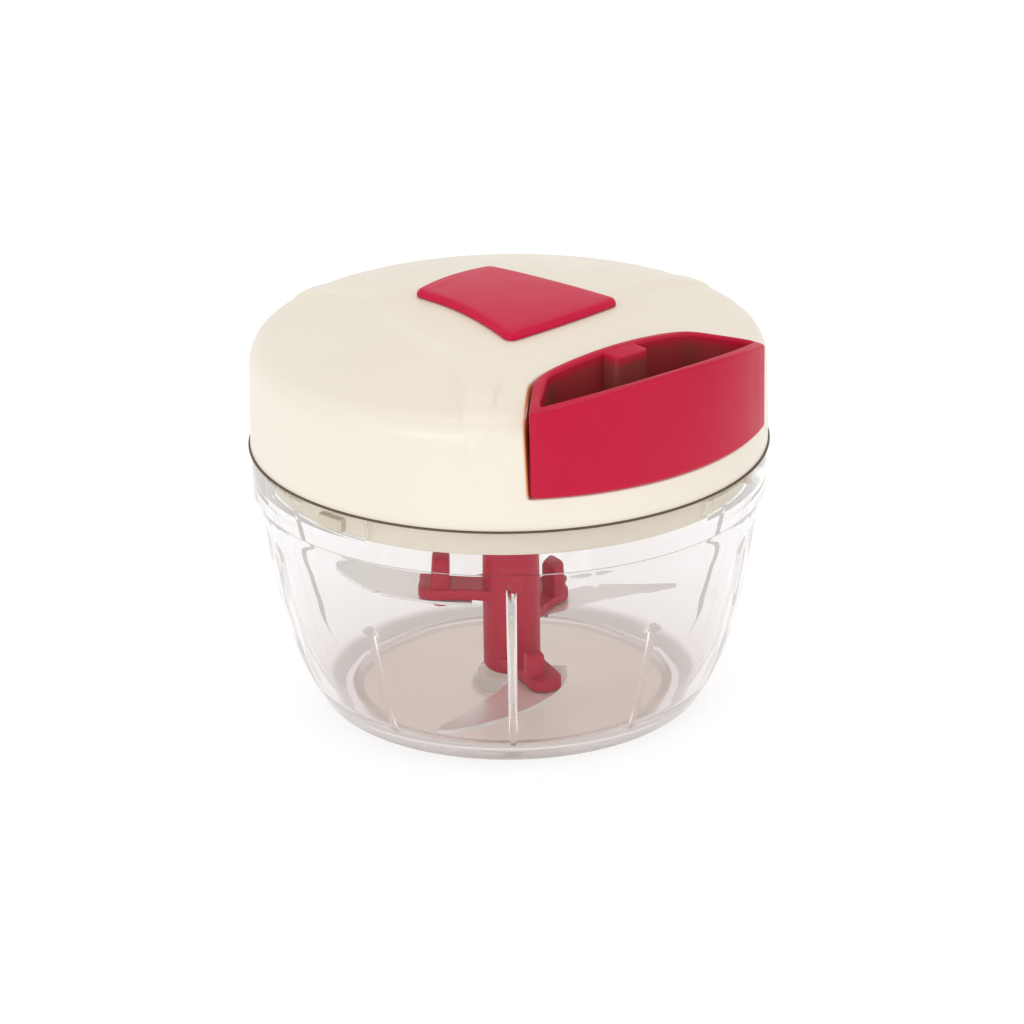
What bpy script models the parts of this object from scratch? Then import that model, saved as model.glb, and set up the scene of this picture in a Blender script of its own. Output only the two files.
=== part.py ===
"""Pull-cord food chopper as an assembly of separate parts (metres, +Z up).

The bowl stands on z = 0 with its axis on the Z axis and the front towards -Y.
Plan angles are measured from the front (-Y) towards the right (+X).
"""
import bpy
import bmesh
import math
from mathutils import Matrix, Vector

MM = 0.001

# Sizes taken from the photograph, in millimetres
LID_R = 62.5             # outer radius of the lid's side wall
RIM_Z = 66.6             # height of the joint line between lid and bowl
BASE_R = 40.5            # flat foot of the bowl
COLLAR_H = 10.5          # height of the bowl's collar
COLLAR_T = 3.4           # thickness of the collar
BOWL_WALL = 2.3
FLOOR_Z = 3.0            # inside floor of the bowl
DOME_RISE = 35.7         # height of the dome's crown above the joint line
DOME_EDGE = 27.1         # the same where the dome meets the side wall
LOBE_DEPTH = 1.5         # how far the three lobes are scooped below the dome
RIDGE_ANGLES = (-7.5, -123.0, 127.0)
BADGE_ANGLE = 43.5       # plan direction of the badge's long axis
BADGE_LONG = 37.4        # length of the badge along that axis
BADGE_HALF = 11.6        # half its width at the rear
BADGE_FLARE = 6.0        # how much wider each half is at the front
HANDLE_ANGLE = 39.4      # plan direction in which the handle is pulled
HANDLE_PROUD = 1.0       # how far the front plate stands out of the lid's wall
HANDLE_HALF = 36.7       # half the width of the front plate
HANDLE_BACK = 38.6       # distance of the handle's back wall from the axis
HANDLE_LOW = 8.4         # bottom of the handle above the joint line
HANDLE_TALL = 25.8       # height of the front plate at its middle
HANDLE_ARCH = 4.4        # how much lower the top is at a half width of 34 mm
WALL = 2.6               # wall thickness of the handle
SHAFT_R = 7.0
ARM_R = 22.7             # radius at which the rotor's arms end
ARM_T = 3.6              # thickness of an arm
BLADE_T = 1.0

# Clearances and sizes of the hidden pieces, in millimetres
GAP = 0.3
WALL_LID = 2.0
LUG_ANGLES = (-42.0, 78.0, 198.0)
LUG_HALF = 3.4           # half the angle that a bayonet lug covers
LUG_H = 3.7
ENTRY_HALF = 9.7         # half the angle of the entry slot above the lug
TURN_LOCK = 22.0         # how far the lid turns to lock
DECK_T = 2.0             # thickness of the lid's inner deck
HUB_R = 9.2
PIN_R = 1.5
PEG_R = 2.5
CORD_R = 0.8
WIND_R = 20.0            # radius of the cord's centre line on the drum
WIND_TURNS = 3.0
TURN_GAP = 0.48          # air between two turns of the cord
FLANGE_T = 1.2
FLANGE_H = 4.0           # how far the drum's flanges stand out of the cord's centre line
CUP_R = 17.0             # inner radius of the cup that holds the spring
ARBOR_R = 3.6
SPRING_TURNS = 4.0
SPRING_T = 0.4
HEX_FLATS = 8.0
HEX_LONG = 12.0          # how far the hexagonal drive goes into the shaft
SCREW_ANGLES = (-30.0, -100.0, -165.0, 120.0)

# Sizes that follow from the ones above
RIM_R = LID_R + 0.5              # edge of the seal, the widest line
COLLAR_R = LID_R - 0.2
COLLAR_IN_R = COLLAR_R - COLLAR_T
NECK_R = COLLAR_IN_R + BOWL_WALL
BOWL_TOP = RIM_Z - 0.6
COLLAR_Z = BOWL_TOP - COLLAR_H
COVER_BOTTOM = RIM_Z + 0.6
DECK_R = LID_R - WALL_LID - GAP
SKIRT_R = COLLAR_IN_R - GAP
SKIRT_BOTTOM = COVER_BOTTOM - 7.6
LUG_R = SKIRT_R + 1.6
LUG_LOW = SKIRT_BOTTOM + 0.7
LUG_HIGH = LUG_LOW + LUG_H
SCREW_R = 0.8 * LID_R            # radius of the circle of deck screws
HANDLE_R = LID_R + HANDLE_PROUD
HANDLE_END = math.sqrt(HANDLE_R ** 2 - HANDLE_HALF ** 2)
HANDLE_BOTTOM = RIM_Z + HANDLE_LOW
HANDLE_TOP = HANDLE_BOTTOM + HANDLE_TALL
SHAFT_BOTTOM = FLOOR_Z + 3.0 + 2.0 * GAP
SHAFT_TOP = BOWL_TOP - 2.0
HUB_LOW = SHAFT_TOP + GAP        # lower end of the drum's hub
HEX_END = SHAFT_TOP - HEX_LONG
DECK_TOP = COVER_BOTTOM + DECK_T + 1.4
WASHER_LOW = DECK_TOP + GAP
PULLEY_LOW = WASHER_LOW + 0.6 + GAP
DRUM_LOW = PULLEY_LOW + FLANGE_T
WIND_PITCH = 2.0 * CORD_R + TURN_GAP
WIND_HIGH = DRUM_LOW + GAP + CORD_R + WIND_PITCH * WIND_TURNS
CORD_Z = WIND_HIGH + WIND_PITCH  # height at which the cord leaves, over the last turn
DRUM_HIGH = CORD_Z + CORD_R + TURN_GAP
CUP_LOW = PULLEY_LOW + 3.0
SPRING_LOW = CUP_LOW + 2.0 * GAP
SPRING_HIGH = DRUM_HIGH - 1.2

# The bowl's wall as shares of the way from foot to neck and from bottom to collar
OUTSIDE = ((0.15, 0.011), (0.275, 0.041), (0.377, 0.097), (0.507, 0.187), (0.633, 0.314),
           (0.749, 0.469), (0.86, 0.667), (0.932, 0.856), (1.0, 1.0))
INSIDE = ((1.0, 0.981), (0.966, 0.926), (0.918, 0.81), (0.87, 0.686), (0.816, 0.571),
          (0.749, 0.453), (0.671, 0.333), (0.58, 0.229), (0.483, 0.141), (0.415, 0.091),
          (0.309, 0.042), (0.164, 0.0095))


def direction(angle):
    """Unit vector in plan for an angle measured from the front."""
    a = math.radians(angle)
    return Vector((math.sin(a), -math.cos(a), 0.0))


def plan(u, v, z=0.0, angle=HANDLE_ANGLE):
    """Point given along (u) and across (v) a plan direction, in mm."""
    d = direction(angle)
    side = Vector((-d.y, d.x, 0.0))
    return (d * u + side * v) * MM + Vector((0.0, 0.0, z * MM))


def polar(r, angle, z):
    """Point at a radius, plan angle and height, in mm."""
    return direction(angle) * (r * MM) + Vector((0.0, 0.0, z * MM))


def material(name, color, roughness, metallic=0.0, transmission=0.0):
    mat = bpy.data.materials.new(name)
    mat.use_nodes = True
    shader = mat.node_tree.nodes["Principled BSDF"]
    shader.inputs["Base Color"].default_value = (*color, 1.0)
    shader.inputs["Roughness"].default_value = roughness
    shader.inputs["Metallic"].default_value = metallic
    shader.inputs["Transmission Weight"].default_value = transmission
    mat.diffuse_color = (*color, 1.0)
    mat.roughness = roughness
    mat.metallic = metallic
    return mat


def add_object(name, bm, mat=None, origin=(0.0, 0.0, 0.0), smooth=True):
    """Turn a bmesh into an object whose origin lies at the given point."""
    bmesh.ops.remove_doubles(bm, verts=bm.verts, dist=1e-7)
    bmesh.ops.recalc_face_normals(bm, faces=bm.faces)
    bmesh.ops.translate(bm, vec=-Vector(origin), verts=bm.verts)
    mesh = bpy.data.meshes.new(name)
    bm.to_mesh(mesh)
    bm.free()
    if smooth:
        mesh.shade_smooth()
        mesh.set_sharp_from_angle(angle=math.radians(32.0))
    obj = bpy.data.objects.new(name, mesh)
    obj.location = origin
    bpy.context.scene.collection.objects.link(obj)
    if mat is not None:
        mesh.materials.append(mat)
    return obj


def cutter(name, bm):
    """A guide solid for a Boolean, kept out of the part."""
    obj = add_object(name, bm, smooth=False)
    obj.hide_render = True
    obj.display_type = 'WIRE'
    return obj


def boolean(obj, tool, operation='DIFFERENCE'):
    mod = obj.modifiers.new(operation.title() + " " + tool.name, 'BOOLEAN')
    mod.operation = operation
    mod.solver = 'EXACT'
    mod.object = tool
    return mod


def lathe(bm, profile, steps, centre=(0.0, 0.0)):
    """Spin a closed profile of (radius, height) in mm around a vertical axis."""
    axis = Vector((centre[0] * MM, centre[1] * MM, 0.0))
    verts = []
    for r, z in profile:
        verts.append(bm.verts.new(axis + Vector((r * MM, 0.0, z * MM))))
    edges = []
    for a, b in zip(verts, verts[1:] + verts[:1]):
        if a.co.xy != axis.xy or b.co.xy != axis.xy:
            edges.append(bm.edges.new((a, b)))
    bmesh.ops.spin(bm, geom=verts + edges, cent=axis, axis=(0.0, 0.0, 1.0),
                   angle=math.tau, steps=steps, use_merge=True)
    bmesh.ops.remove_doubles(bm, verts=bm.verts, dist=1e-6)


def prism(bm, points, low, high):
    """Extrude a plan outline (points in metres) between two heights in mm."""
    verts = [bm.verts.new((p[0], p[1], low * MM)) for p in points]
    face = bm.faces.new(verts)
    top = bmesh.ops.extrude_face_region(bm, geom=[face])
    moved = [e for e in top["geom"] if isinstance(e, bmesh.types.BMVert)]
    bmesh.ops.translate(bm, vec=(0.0, 0.0, (high - low) * MM), verts=moved)


def sector(bm, r0, r1, a0, a1, low, high, steps):
    """A block between two radii, two plan angles and two heights."""
    points = []
    for i in range(steps + 1):
        points.append(polar(r1, a0 + (a1 - a0) * i / steps, 0.0))
    for i in range(steps + 1):
        points.append(polar(r0, a1 + (a0 - a1) * i / steps, 0.0))
    prism(bm, points, low, high)


def disc(bm, centre, radius, low, high, steps=24):
    """A cylinder with its axis upright at a plan point in metres."""
    points = []
    for i in range(steps):
        a = math.tau * i / steps
        points.append((centre[0] + radius * MM * math.cos(a),
                       centre[1] + radius * MM * math.sin(a)))
    prism(bm, points, low, high)


def rod(bm, start, end, radius, steps=16):
    """A cylinder of a radius in mm between two points in metres."""
    start = Vector(start)
    end = Vector(end)
    turn = (end - start).to_track_quat('Z', 'Y').to_matrix().to_4x4()
    place = Matrix.Translation((start + end) / 2.0) @ turn
    bmesh.ops.create_cone(bm, cap_ends=True, cap_tris=False, segments=steps,
                          radius1=radius * MM, radius2=radius * MM,
                          depth=(end - start).length, matrix=place)


def column_shell(bm, angles, column):
    """Skin columns of (radius, height) points, one column for each plan angle."""
    rings = []
    for angle in angles:
        ring = []
        for r, z in column(angle):
            ring.append(bm.verts.new(polar(r, angle, z)))
        rings.append(ring)
    for a, b in zip(rings, rings[1:] + rings[:1]):
        for i in range(len(a) - 1):
            bm.faces.new((a[i], a[i + 1], b[i + 1], b[i]))
    bmesh.ops.remove_doubles(bm, verts=bm.verts, dist=1e-7)
    bmesh.ops.dissolve_degenerate(bm, edges=bm.edges, dist=1e-7)


def smoothstep(x):
    x = min(max(x, 0.0), 1.0)
    return x * x * (3.0 - 2.0 * x)


# Bowl
def rib_height(angle, z):
    """Inward height of the ten leaf-shaped ribs at a plan angle and height."""
    index = round(angle / 36.0)
    off = abs(angle - 36.0 * index)
    low = 0.108 * COLLAR_Z
    high = (0.973 if index % 2 == 0 else 0.649) * COLLAR_Z
    along = (z - low) / (high - low)
    if off >= 1.4 or along <= 0.0 or along >= 1.0:
        return 0.0
    return 1.5 * (1.0 - off / 1.4) ** 0.5 * math.sin(math.pi * along) ** 0.6


def wall_point(share, rise, inward, bottom):
    """Point of the bowl's wall, moved inward by a thickness."""
    return (BASE_R + (NECK_R - BASE_R) * share - inward, bottom + (COLLAR_Z - bottom) * rise)


def inner_wall():
    return [wall_point(share, rise, BOWL_WALL, FLOOR_Z) for share, rise in INSIDE]


def inside_radius(z):
    """Inner radius of the bowl at a height, without the ribs."""
    points = inner_wall()
    for (r1, z1), (r0, z0) in zip(points, points[1:]):
        if z0 <= z <= z1:
            return r0 + (r1 - r0) * (z - z0) / (z1 - z0)
    return COLLAR_IN_R


def bowl_column(angle):
    points = [(0.0, 0.0), (BASE_R, 0.0)]
    points += [wall_point(share, rise, 0.0, 0.0) for share, rise in OUTSIDE]
    points += [(COLLAR_R, COLLAR_Z), (COLLAR_R, BOWL_TOP)]
    boss = FLOOR_Z + 3.0
    inner = [(COLLAR_IN_R, BOWL_TOP)] + inner_wall()
    inner += [(BASE_R - 0.9, FLOOR_Z), (BASE_R - 1.7, FLOOR_Z + 0.5),
              (BASE_R - 3.1, FLOOR_Z + 0.5), (BASE_R - 3.7, FLOOR_Z), (8.5, FLOOR_Z),
              (8.3, boss - 0.3), (7.9, boss), (PIN_R + GAP, boss),
              (PIN_R + GAP, FLOOR_Z + GAP), (0.0, FLOOR_Z + GAP)]
    for r, z in inner:
        points.append((r - rib_height(angle, z), z))
    return points


def bowl_angles():
    angles = []
    for rib in range(10):
        for off in (-1.4, -0.7, 0.0, 0.7, 1.4):
            angles.append(rib * 36.0 + off)
        for i in range(1, 4):
            angles.append(rib * 36.0 + 1.4 + 33.2 * i / 4.0)
    return angles


def build_bowl():
    bm = bmesh.new()
    column_shell(bm, bowl_angles(), bowl_column)
    bowl = add_object("bowl", bm, material("bowl_clear", (0.86, 0.88, 0.9), 0.05,
                                           transmission=0.95))
    bm = bmesh.new()
    for lug in LUG_ANGLES:
        sector(bm, COLLAR_IN_R - 1.9, LUG_R + 0.5, lug - ENTRY_HALF, lug + ENTRY_HALF,
               LUG_LOW - 0.5, BOWL_TOP + 1.0, 4)
    boolean(bowl, cutter("guide_bowl_entries", bm))
    bm = bmesh.new()
    for lug in LUG_ANGLES:
        sector(bm, COLLAR_IN_R - 1.6, LUG_R + 0.45, lug - TURN_LOCK - LUG_HALF - 1.2,
               lug - ENTRY_HALF + 1.0, LUG_LOW - 0.45, LUG_HIGH + 0.45, 5)
    boolean(bowl, cutter("guide_bowl_grooves", bm))


def build_pivot_pin():
    bm = bmesh.new()
    low = FLOOR_Z + 2.0 * GAP
    lathe(bm, [(0.0, low), (PIN_R, low), (PIN_R, low + 9.8), (PIN_R - 0.5, low + 10.6),
               (0.0, low + 10.6)], 20)
    add_object("pivot_pin", bm, material("pin_steel", (0.62, 0.62, 0.63), 0.25, 1.0))


# Seal and deck
def build_rim_seal():
    bm = bmesh.new()
    low = BOWL_TOP + GAP
    high = COVER_BOTTOM - GAP
    inner = COLLAR_IN_R + 0.4
    lathe(bm, [(inner, low), (RIM_R - 0.2, low), (RIM_R, low + 0.15),
               (RIM_R, high - 0.15), (RIM_R - 0.2, high), (inner, high)], 60)
    add_object("rim_seal", bm, material("seal_rubber", (0.055, 0.035, 0.022), 0.6))


def build_lid_base():
    deck = COVER_BOTTOM
    top = deck + DECK_T
    bm = bmesh.new()
    lathe(bm, [(HUB_R + GAP, deck - 3.0), (HUB_R + 2.3, deck - 3.0),
               (HUB_R + 2.3, deck), (SKIRT_R - 2.0, deck),
               (SKIRT_R - 2.0, SKIRT_BOTTOM), (SKIRT_R - 0.4, SKIRT_BOTTOM),
               (SKIRT_R, SKIRT_BOTTOM + 0.4), (SKIRT_R, deck), (DECK_R, deck),
               (DECK_R, top), (HUB_R + 3.8, top), (HUB_R + 3.8, DECK_TOP),
               (HUB_R + GAP, DECK_TOP)], 60)
    base = add_object("lid_base", bm, material("deck_cream", (0.86, 0.79, 0.65), 0.42))
    bm = bmesh.new()
    for lug in LUG_ANGLES:
        sector(bm, SKIRT_R - 1.0, LUG_R, lug - LUG_HALF, lug + LUG_HALF,
               LUG_LOW, LUG_HIGH, 2)
    boolean(base, cutter("guide_lugs", bm), 'UNION')
    bm = bmesh.new()
    for angle in SCREW_ANGLES:
        disc(bm, polar(SCREW_R, angle, 0.0), 1.6, deck - 1.0, top + 1.0, 16)
    boolean(base, cutter("guide_deck_holes", bm))


def build_screws():
    mesh = None
    mat = material("screw_steel", (0.6, 0.6, 0.61), 0.3, 1.0)
    head = COVER_BOTTOM - GAP
    for number, angle in enumerate(SCREW_ANGLES, 1):
        name = "base_screw_%d" % number
        place = polar(SCREW_R, angle, head)
        if mesh is None:
            bm = bmesh.new()
            lathe(bm, [(0.0, -0.7), (0.9, -0.7), (1.1, -1.8), (2.2, -1.6),
                       (2.9, -0.9), (3.0, 0.0), (1.3, 0.0), (1.3, 12.4),
                       (0.7, 13.4), (0.0, 13.4)], 12)
            mesh = add_object(name, bm, mat)
            mesh.location = place
        else:
            copy = bpy.data.objects.new(name, mesh.data)
            copy.location = place
            bpy.context.scene.collection.objects.link(copy)


# Lid cover
def ridge_distance(angle):
    best = 180.0
    for ridge in RIDGE_ANGLES:
        off = (angle - ridge + 180.0) % 360.0 - 180.0
        best = min(best, abs(off))
    return best


def dome(r):
    return RIM_Z + DOME_RISE - (DOME_RISE - DOME_EDGE) * (r / LID_R) ** 2


def scoop(r, angle):
    """Depth of the lobes: nil on the crown and on the three ridges."""
    off = max(ridge_distance(angle), 0.01)
    crease = (0.384 + 0.944 / off ** 0.7) * LID_R
    swing = (angle - HANDLE_ANGLE + 180.0) % 360.0 - 180.0
    fade = smoothstep((abs(swing) - 34.0) / 13.0)
    lobe = LOBE_DEPTH * fade * smoothstep((r - crease) / (0.058 * LID_R))
    return max(lobe, 0.55 * LOBE_DEPTH * smoothstep((r / LID_R - 0.784) / 0.144))


def ridge_on_wall(angle, z):
    """Outward height of the ridges where they run down the side wall."""
    off = ridge_distance(angle)
    rise = (z - RIM_Z) / DOME_EDGE
    return 0.5 * smoothstep((2.4 - off) / 2.0) * smoothstep((rise - 0.44) / 0.26)


def cover_column(angle):
    points = [(0.0, COVER_BOTTOM), (LID_R - 0.3, COVER_BOTTOM), (LID_R, COVER_BOTTOM + 0.4)]
    for rise, inward in ((0.185, 0.0), (0.37, 0.1), (0.5, 0.2), (0.63, 0.25), (0.74, 0.3)):
        z = RIM_Z + rise * DOME_EDGE
        points.append((LID_R - inward + ridge_on_wall(angle, z), z))
    lift = LOBE_DEPTH - scoop(LID_R - 1.5, angle)
    edge = RIM_Z + DOME_EDGE
    points.append((LID_R - 0.6 + 0.15 * lift, edge - 4.5 + 0.3 * lift))
    points.append((LID_R - 1.6 + 0.2 * lift, edge - 2.4 + 0.5 * lift))
    points.append((LID_R - 3.3 + 0.1 * lift, edge - 0.9 + 0.8 * lift))
    for share in (0.906, 0.848, 0.768, 0.688, 0.616, 0.552, 0.496, 0.44, 0.352, 0.192, 0.0):
        r = share * LID_R
        points.append((r, dome(r) - scoop(r, angle)))
    return points


def cover_angles():
    angles = []
    offs = (0.0, 1.2, 2.4, 4.0, 6.5, 10.0, 14.0)
    for ridge in RIDGE_ANGLES:
        angles += [ridge - off for off in offs[:0:-1]]
        angles += [ridge + off for off in offs]
    ends = sorted((ridge % 360.0) for ridge in RIDGE_ANGLES)
    for a, b in zip(ends, ends[1:] + [ends[0] + 360.0]):
        count = int(round((b - a - 28.0) / 7.0))
        for i in range(1, count):
            angles.append(a + 14.0 + (b - a - 28.0) * i / count)
    return sorted(set(round(angle % 360.0, 4) for angle in angles))


def pocket_outline(offset):
    """Plan outline of the handle's recess, widened by an offset in mm."""
    b = HANDLE_BACK
    e = HANDLE_END
    h = HANDLE_HALF + 0.7 * offset
    half = [(b - 0.6 - offset, h - 15.1), (b + 0.9 - 0.85 * offset, h - 10.9),
            (b + 3.4 - 0.7 * offset, h - 7.9), (e - 0.3 - 0.7 * offset, h + 1.7),
            (e + 12.1 - 0.7 * offset, h + 14.5), (e + 24.0, h + 14.5)]
    return [plan(u, -v) for u, v in half] + [plan(u, v) for u, v in half[::-1]]


def ceiling(r):
    """Height of the inside of the cover under the dome."""
    lobes = LOBE_DEPTH * smoothstep((r / LID_R - 0.2) / 0.2)
    return dome(r) - WALL_LID - 0.5 - lobes


def build_lid_cover():
    bm = bmesh.new()
    column_shell(bm, cover_angles(), cover_column)
    cover = add_object("lid_cover", bm, material("cover_cream", (0.89, 0.84, 0.72), 0.35))
    bm = bmesh.new()
    above = RIM_Z + DOME_RISE + 20.0
    prism(bm, pocket_outline(0.0), HANDLE_BOTTOM - 0.4, above)
    boolean(cover, cutter("guide_recess", bm))
    bm = bmesh.new()
    inner = LID_R - WALL_LID
    edge = RIM_Z + DOME_EDGE
    profile = [(0.0, RIM_Z - 3.0), (inner, RIM_Z - 3.0), (inner, edge - 13.7),
               (inner - 0.3, edge - 7.3), (inner - 1.9, edge - 4.3), (inner - 4.5, edge - 2.7)]
    profile += [(share * LID_R, ceiling(share * LID_R)) for share in (0.77, 0.61, 0.42, 0.19, 0.0)]
    lathe(bm, profile, 48)
    cavity = cutter("guide_cavity", bm)
    bm = bmesh.new()
    prism(bm, pocket_outline(WALL_LID), HANDLE_BOTTOM - 0.4 - WALL_LID, above + 1.0)
    boolean(cavity, cutter("guide_recess_walls", bm))
    bm = bmesh.new()
    for angle in SCREW_ANGLES:
        disc(bm, polar(SCREW_R, angle, 0.0), 4.0, COVER_BOTTOM + DECK_T + GAP, above, 16)
    boolean(cavity, cutter("guide_bosses", bm))
    boolean(cover, cavity)
    bm = bmesh.new()
    for angle in SCREW_ANGLES:
        disc(bm, polar(SCREW_R, angle, 0.0), 1.6, COVER_BOTTOM, COVER_BOTTOM + 13.6, 16)
    rod(bm, plan(HANDLE_BACK - 5.0, 0.0, CORD_Z), plan(HANDLE_BACK + 2.0, 0.0, CORD_Z), 2.9)
    boolean(cover, cutter("guide_cover_holes", bm))


def badge_point(s, t, z):
    """Point of the badge: s runs across it and t from its rear to its front."""
    u = 0.9 + BADGE_LONG * (t - 0.5)
    half = BADGE_HALF + BADGE_FLARE * t - 0.9 * math.sin(math.pi * t)
    across = half * s
    bulge = 1.8 * (1.0 - s * s)
    u += bulge * (2.0 * t - 1.0)
    r = math.hypot(u, across)
    return plan(u, across, dome(r) + z, BADGE_ANGLE)


def build_badge():
    count = 8
    bm = bmesh.new()
    layers = ((1.0, GAP), (1.0, 1.5), (0.965, 2.0))
    rings = []
    for scale, z in layers:
        ring = []
        for i in range(count):
            ring.append((-1.0 + 2.0 * i / count, -1.0))
        for i in range(count):
            ring.append((1.0, -1.0 + 2.0 * i / count))
        for i in range(count):
            ring.append((1.0 - 2.0 * i / count, 1.0))
        for i in range(count):
            ring.append((-1.0, 1.0 - 2.0 * i / count))
        rings.append([bm.verts.new(badge_point(s * scale, 0.5 + 0.5 * t * scale, z))
                      for s, t in ring])
    for a, b in zip(rings, rings[1:]):
        for i in range(len(a)):
            j = (i + 1) % len(a)
            bm.faces.new((a[i], a[j], b[j], b[i]))
    for scale, z in (layers[0], layers[-1]):
        grid = []
        for i in range(count + 1):
            row = []
            for j in range(count + 1):
                s = (-1.0 + 2.0 * i / count) * scale
                t = 0.5 + 0.5 * (-1.0 + 2.0 * j / count) * scale
                row.append(bm.verts.new(badge_point(s, t, z)))
            grid.append(row)
        for i in range(count):
            for j in range(count):
                bm.faces.new((grid[i][j], grid[i + 1][j], grid[i + 1][j + 1],
                              grid[i][j + 1]))
    bmesh.ops.remove_doubles(bm, verts=bm.verts, dist=1e-6)
    add_object("badge_plate", bm, material("badge_crimson", (0.62, 0.02, 0.06), 0.32))


# Handle
def handle_top(v):
    return HANDLE_TOP - HANDLE_ARCH * (v / 34.0) ** 2


def handle_stations():
    """Pairs of outer and inner plan points around the handle's loop."""
    b = HANDLE_BACK
    w = WALL
    e = HANDLE_END
    h = HANDLE_HALF
    right = [((b, h - 17.7), (b + w, h - 18.5)), ((b + 0.5, h - 14.3), (b + w + 0.2, h - 16.0)),
             ((b + 1.7, h - 11.7), (b + w + 0.9, h - 14.1)),
             ((b + 3.4, h - 9.5), (b + w + 2.1, h - 12.6)),
             ((b + 7.0, h - 5.9), (b + w + 5.8, h - 8.5)),
             ((e - 0.9, h - 0.7), (e + 1.3 - w, h - 1.9 - w)), ((e, h), (e + 1.9 - w, h - 1.3 - w)),
             ((e + 1.2, h - 0.6), (e + 2.6 - w, h - 1.5 - w))]
    arc = []
    outer_half = math.asin(h / HANDLE_R) - 0.012
    inner_half = math.asin((h - 1.8 - w) / (HANDLE_R - w))
    for i in range(1, 12):
        a = outer_half * (1.0 - i / 6.0)
        k = inner_half * (1.0 - i / 6.0)
        arc.append(((HANDLE_R * math.cos(a), HANDLE_R * math.sin(a)),
                    ((HANDLE_R - w) * math.cos(k), (HANDLE_R - w) * math.sin(k))))
    left = [((o[0], -o[1]), (n[0], -n[1])) for o, n in right[::-1]]
    back = [((b, v), (b + w, v * 0.95)) for v in (-11.0, 0.0, 11.0)]
    return right + arc + left + back


def build_handle():
    bm = bmesh.new()
    c = 0.7
    rings = []
    for outer, inner in handle_stations():
        o = Vector(outer)
        n = Vector(inner)
        across = (n - o).normalized() * c
        top_o = handle_top(o.y)
        top_n = handle_top(n.y)
        section = [(o + across, HANDLE_BOTTOM), (o, HANDLE_BOTTOM + c), (o, top_o - c),
                   (o + across, top_o), (n - across, top_n), (n, top_n - c),
                   (n, HANDLE_BOTTOM + c), (n - across, HANDLE_BOTTOM)]
        rings.append([bm.verts.new(plan(p.x, p.y, z)) for p, z in section])
    for a, b in zip(rings, rings[1:] + rings[:1]):
        for i in range(8):
            j = (i + 1) % 8
            bm.faces.new((a[i], a[j], b[j], b[i]))
    origin = plan(HANDLE_BACK, 0.0, CORD_Z)
    handle = add_object("pull_handle", bm, material("handle_crimson", (0.62, 0.018, 0.055), 0.3),
                        origin=origin)
    bm = bmesh.new()
    b = HANDLE_BACK
    prism(bm, [plan(b + 1.2, -6.4), plan(b + 7.0, -6.4), plan(b + 7.8, -5.6),
               plan(b + 7.8, 5.6), plan(b + 7.0, 6.4), plan(b + 1.2, 6.4)],
          HANDLE_BOTTOM + 1.0, HANDLE_TOP - 4.2)
    boolean(handle, cutter("guide_handle_boss", bm), 'UNION')
    bm = bmesh.new()
    rod(bm, plan(b - 2.0, 0.0, CORD_Z), plan(b + 5.0, 0.0, CORD_Z), CORD_R + 0.4, 12)
    boolean(handle, cutter("guide_handle_cord_hole", bm))
    bm = bmesh.new()
    rod(bm, plan(b + 4.0, 0.0, CORD_Z), plan(b + 10.0, 0.0, CORD_Z), 3.0, 20)
    boolean(handle, cutter("guide_handle_knot_well", bm))


def build_cord_knot():
    bm = bmesh.new()
    profile = [(0.0, 0.0), (CORD_R, 0.0), (CORD_R, 4.9), (1.9, 5.2), (2.6, 6.2),
               (2.6, 7.0), (1.9, 7.9), (0.9, 8.2), (0.0, 8.2)]
    lathe(bm, profile, 12)
    turn = direction(HANDLE_ANGLE).to_track_quat('Z', 'Y').to_matrix().to_4x4()
    bmesh.ops.transform(bm, matrix=turn, verts=bm.verts)
    start = plan(HANDLE_BACK - 0.6, 0.0, CORD_Z)
    bmesh.ops.translate(bm, vec=start, verts=bm.verts)
    add_object("cord_knot", bm, material("knot_cord", (0.8, 0.79, 0.76), 0.8), origin=start)


# Cord drive inside the lid
def tube(name, points, mat, origin=(0.0, 0.0, 0.0)):
    """A cord as a bevelled curve through points in metres, with closed ends."""
    curve = bpy.data.curves.new(name, 'CURVE')
    curve.dimensions = '3D'
    curve.bevel_depth = CORD_R * MM
    curve.bevel_resolution = 1
    curve.use_fill_caps = True
    spline = curve.splines.new('POLY')
    spline.points.add(len(points) - 1)
    for target, point in zip(spline.points, points):
        target.co = (*(Vector(point) - Vector(origin)), 1.0)
    spline.use_smooth = True
    curve.materials.append(mat)
    obj = bpy.data.objects.new(name, curve)
    obj.location = origin
    bpy.context.scene.collection.objects.link(obj)
    return obj


def tangent_angle():
    """Plan angle, across from the handle, where the cord leaves the drum."""
    return math.degrees(math.acos(WIND_R / (HANDLE_BACK - 4.4)))


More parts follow.
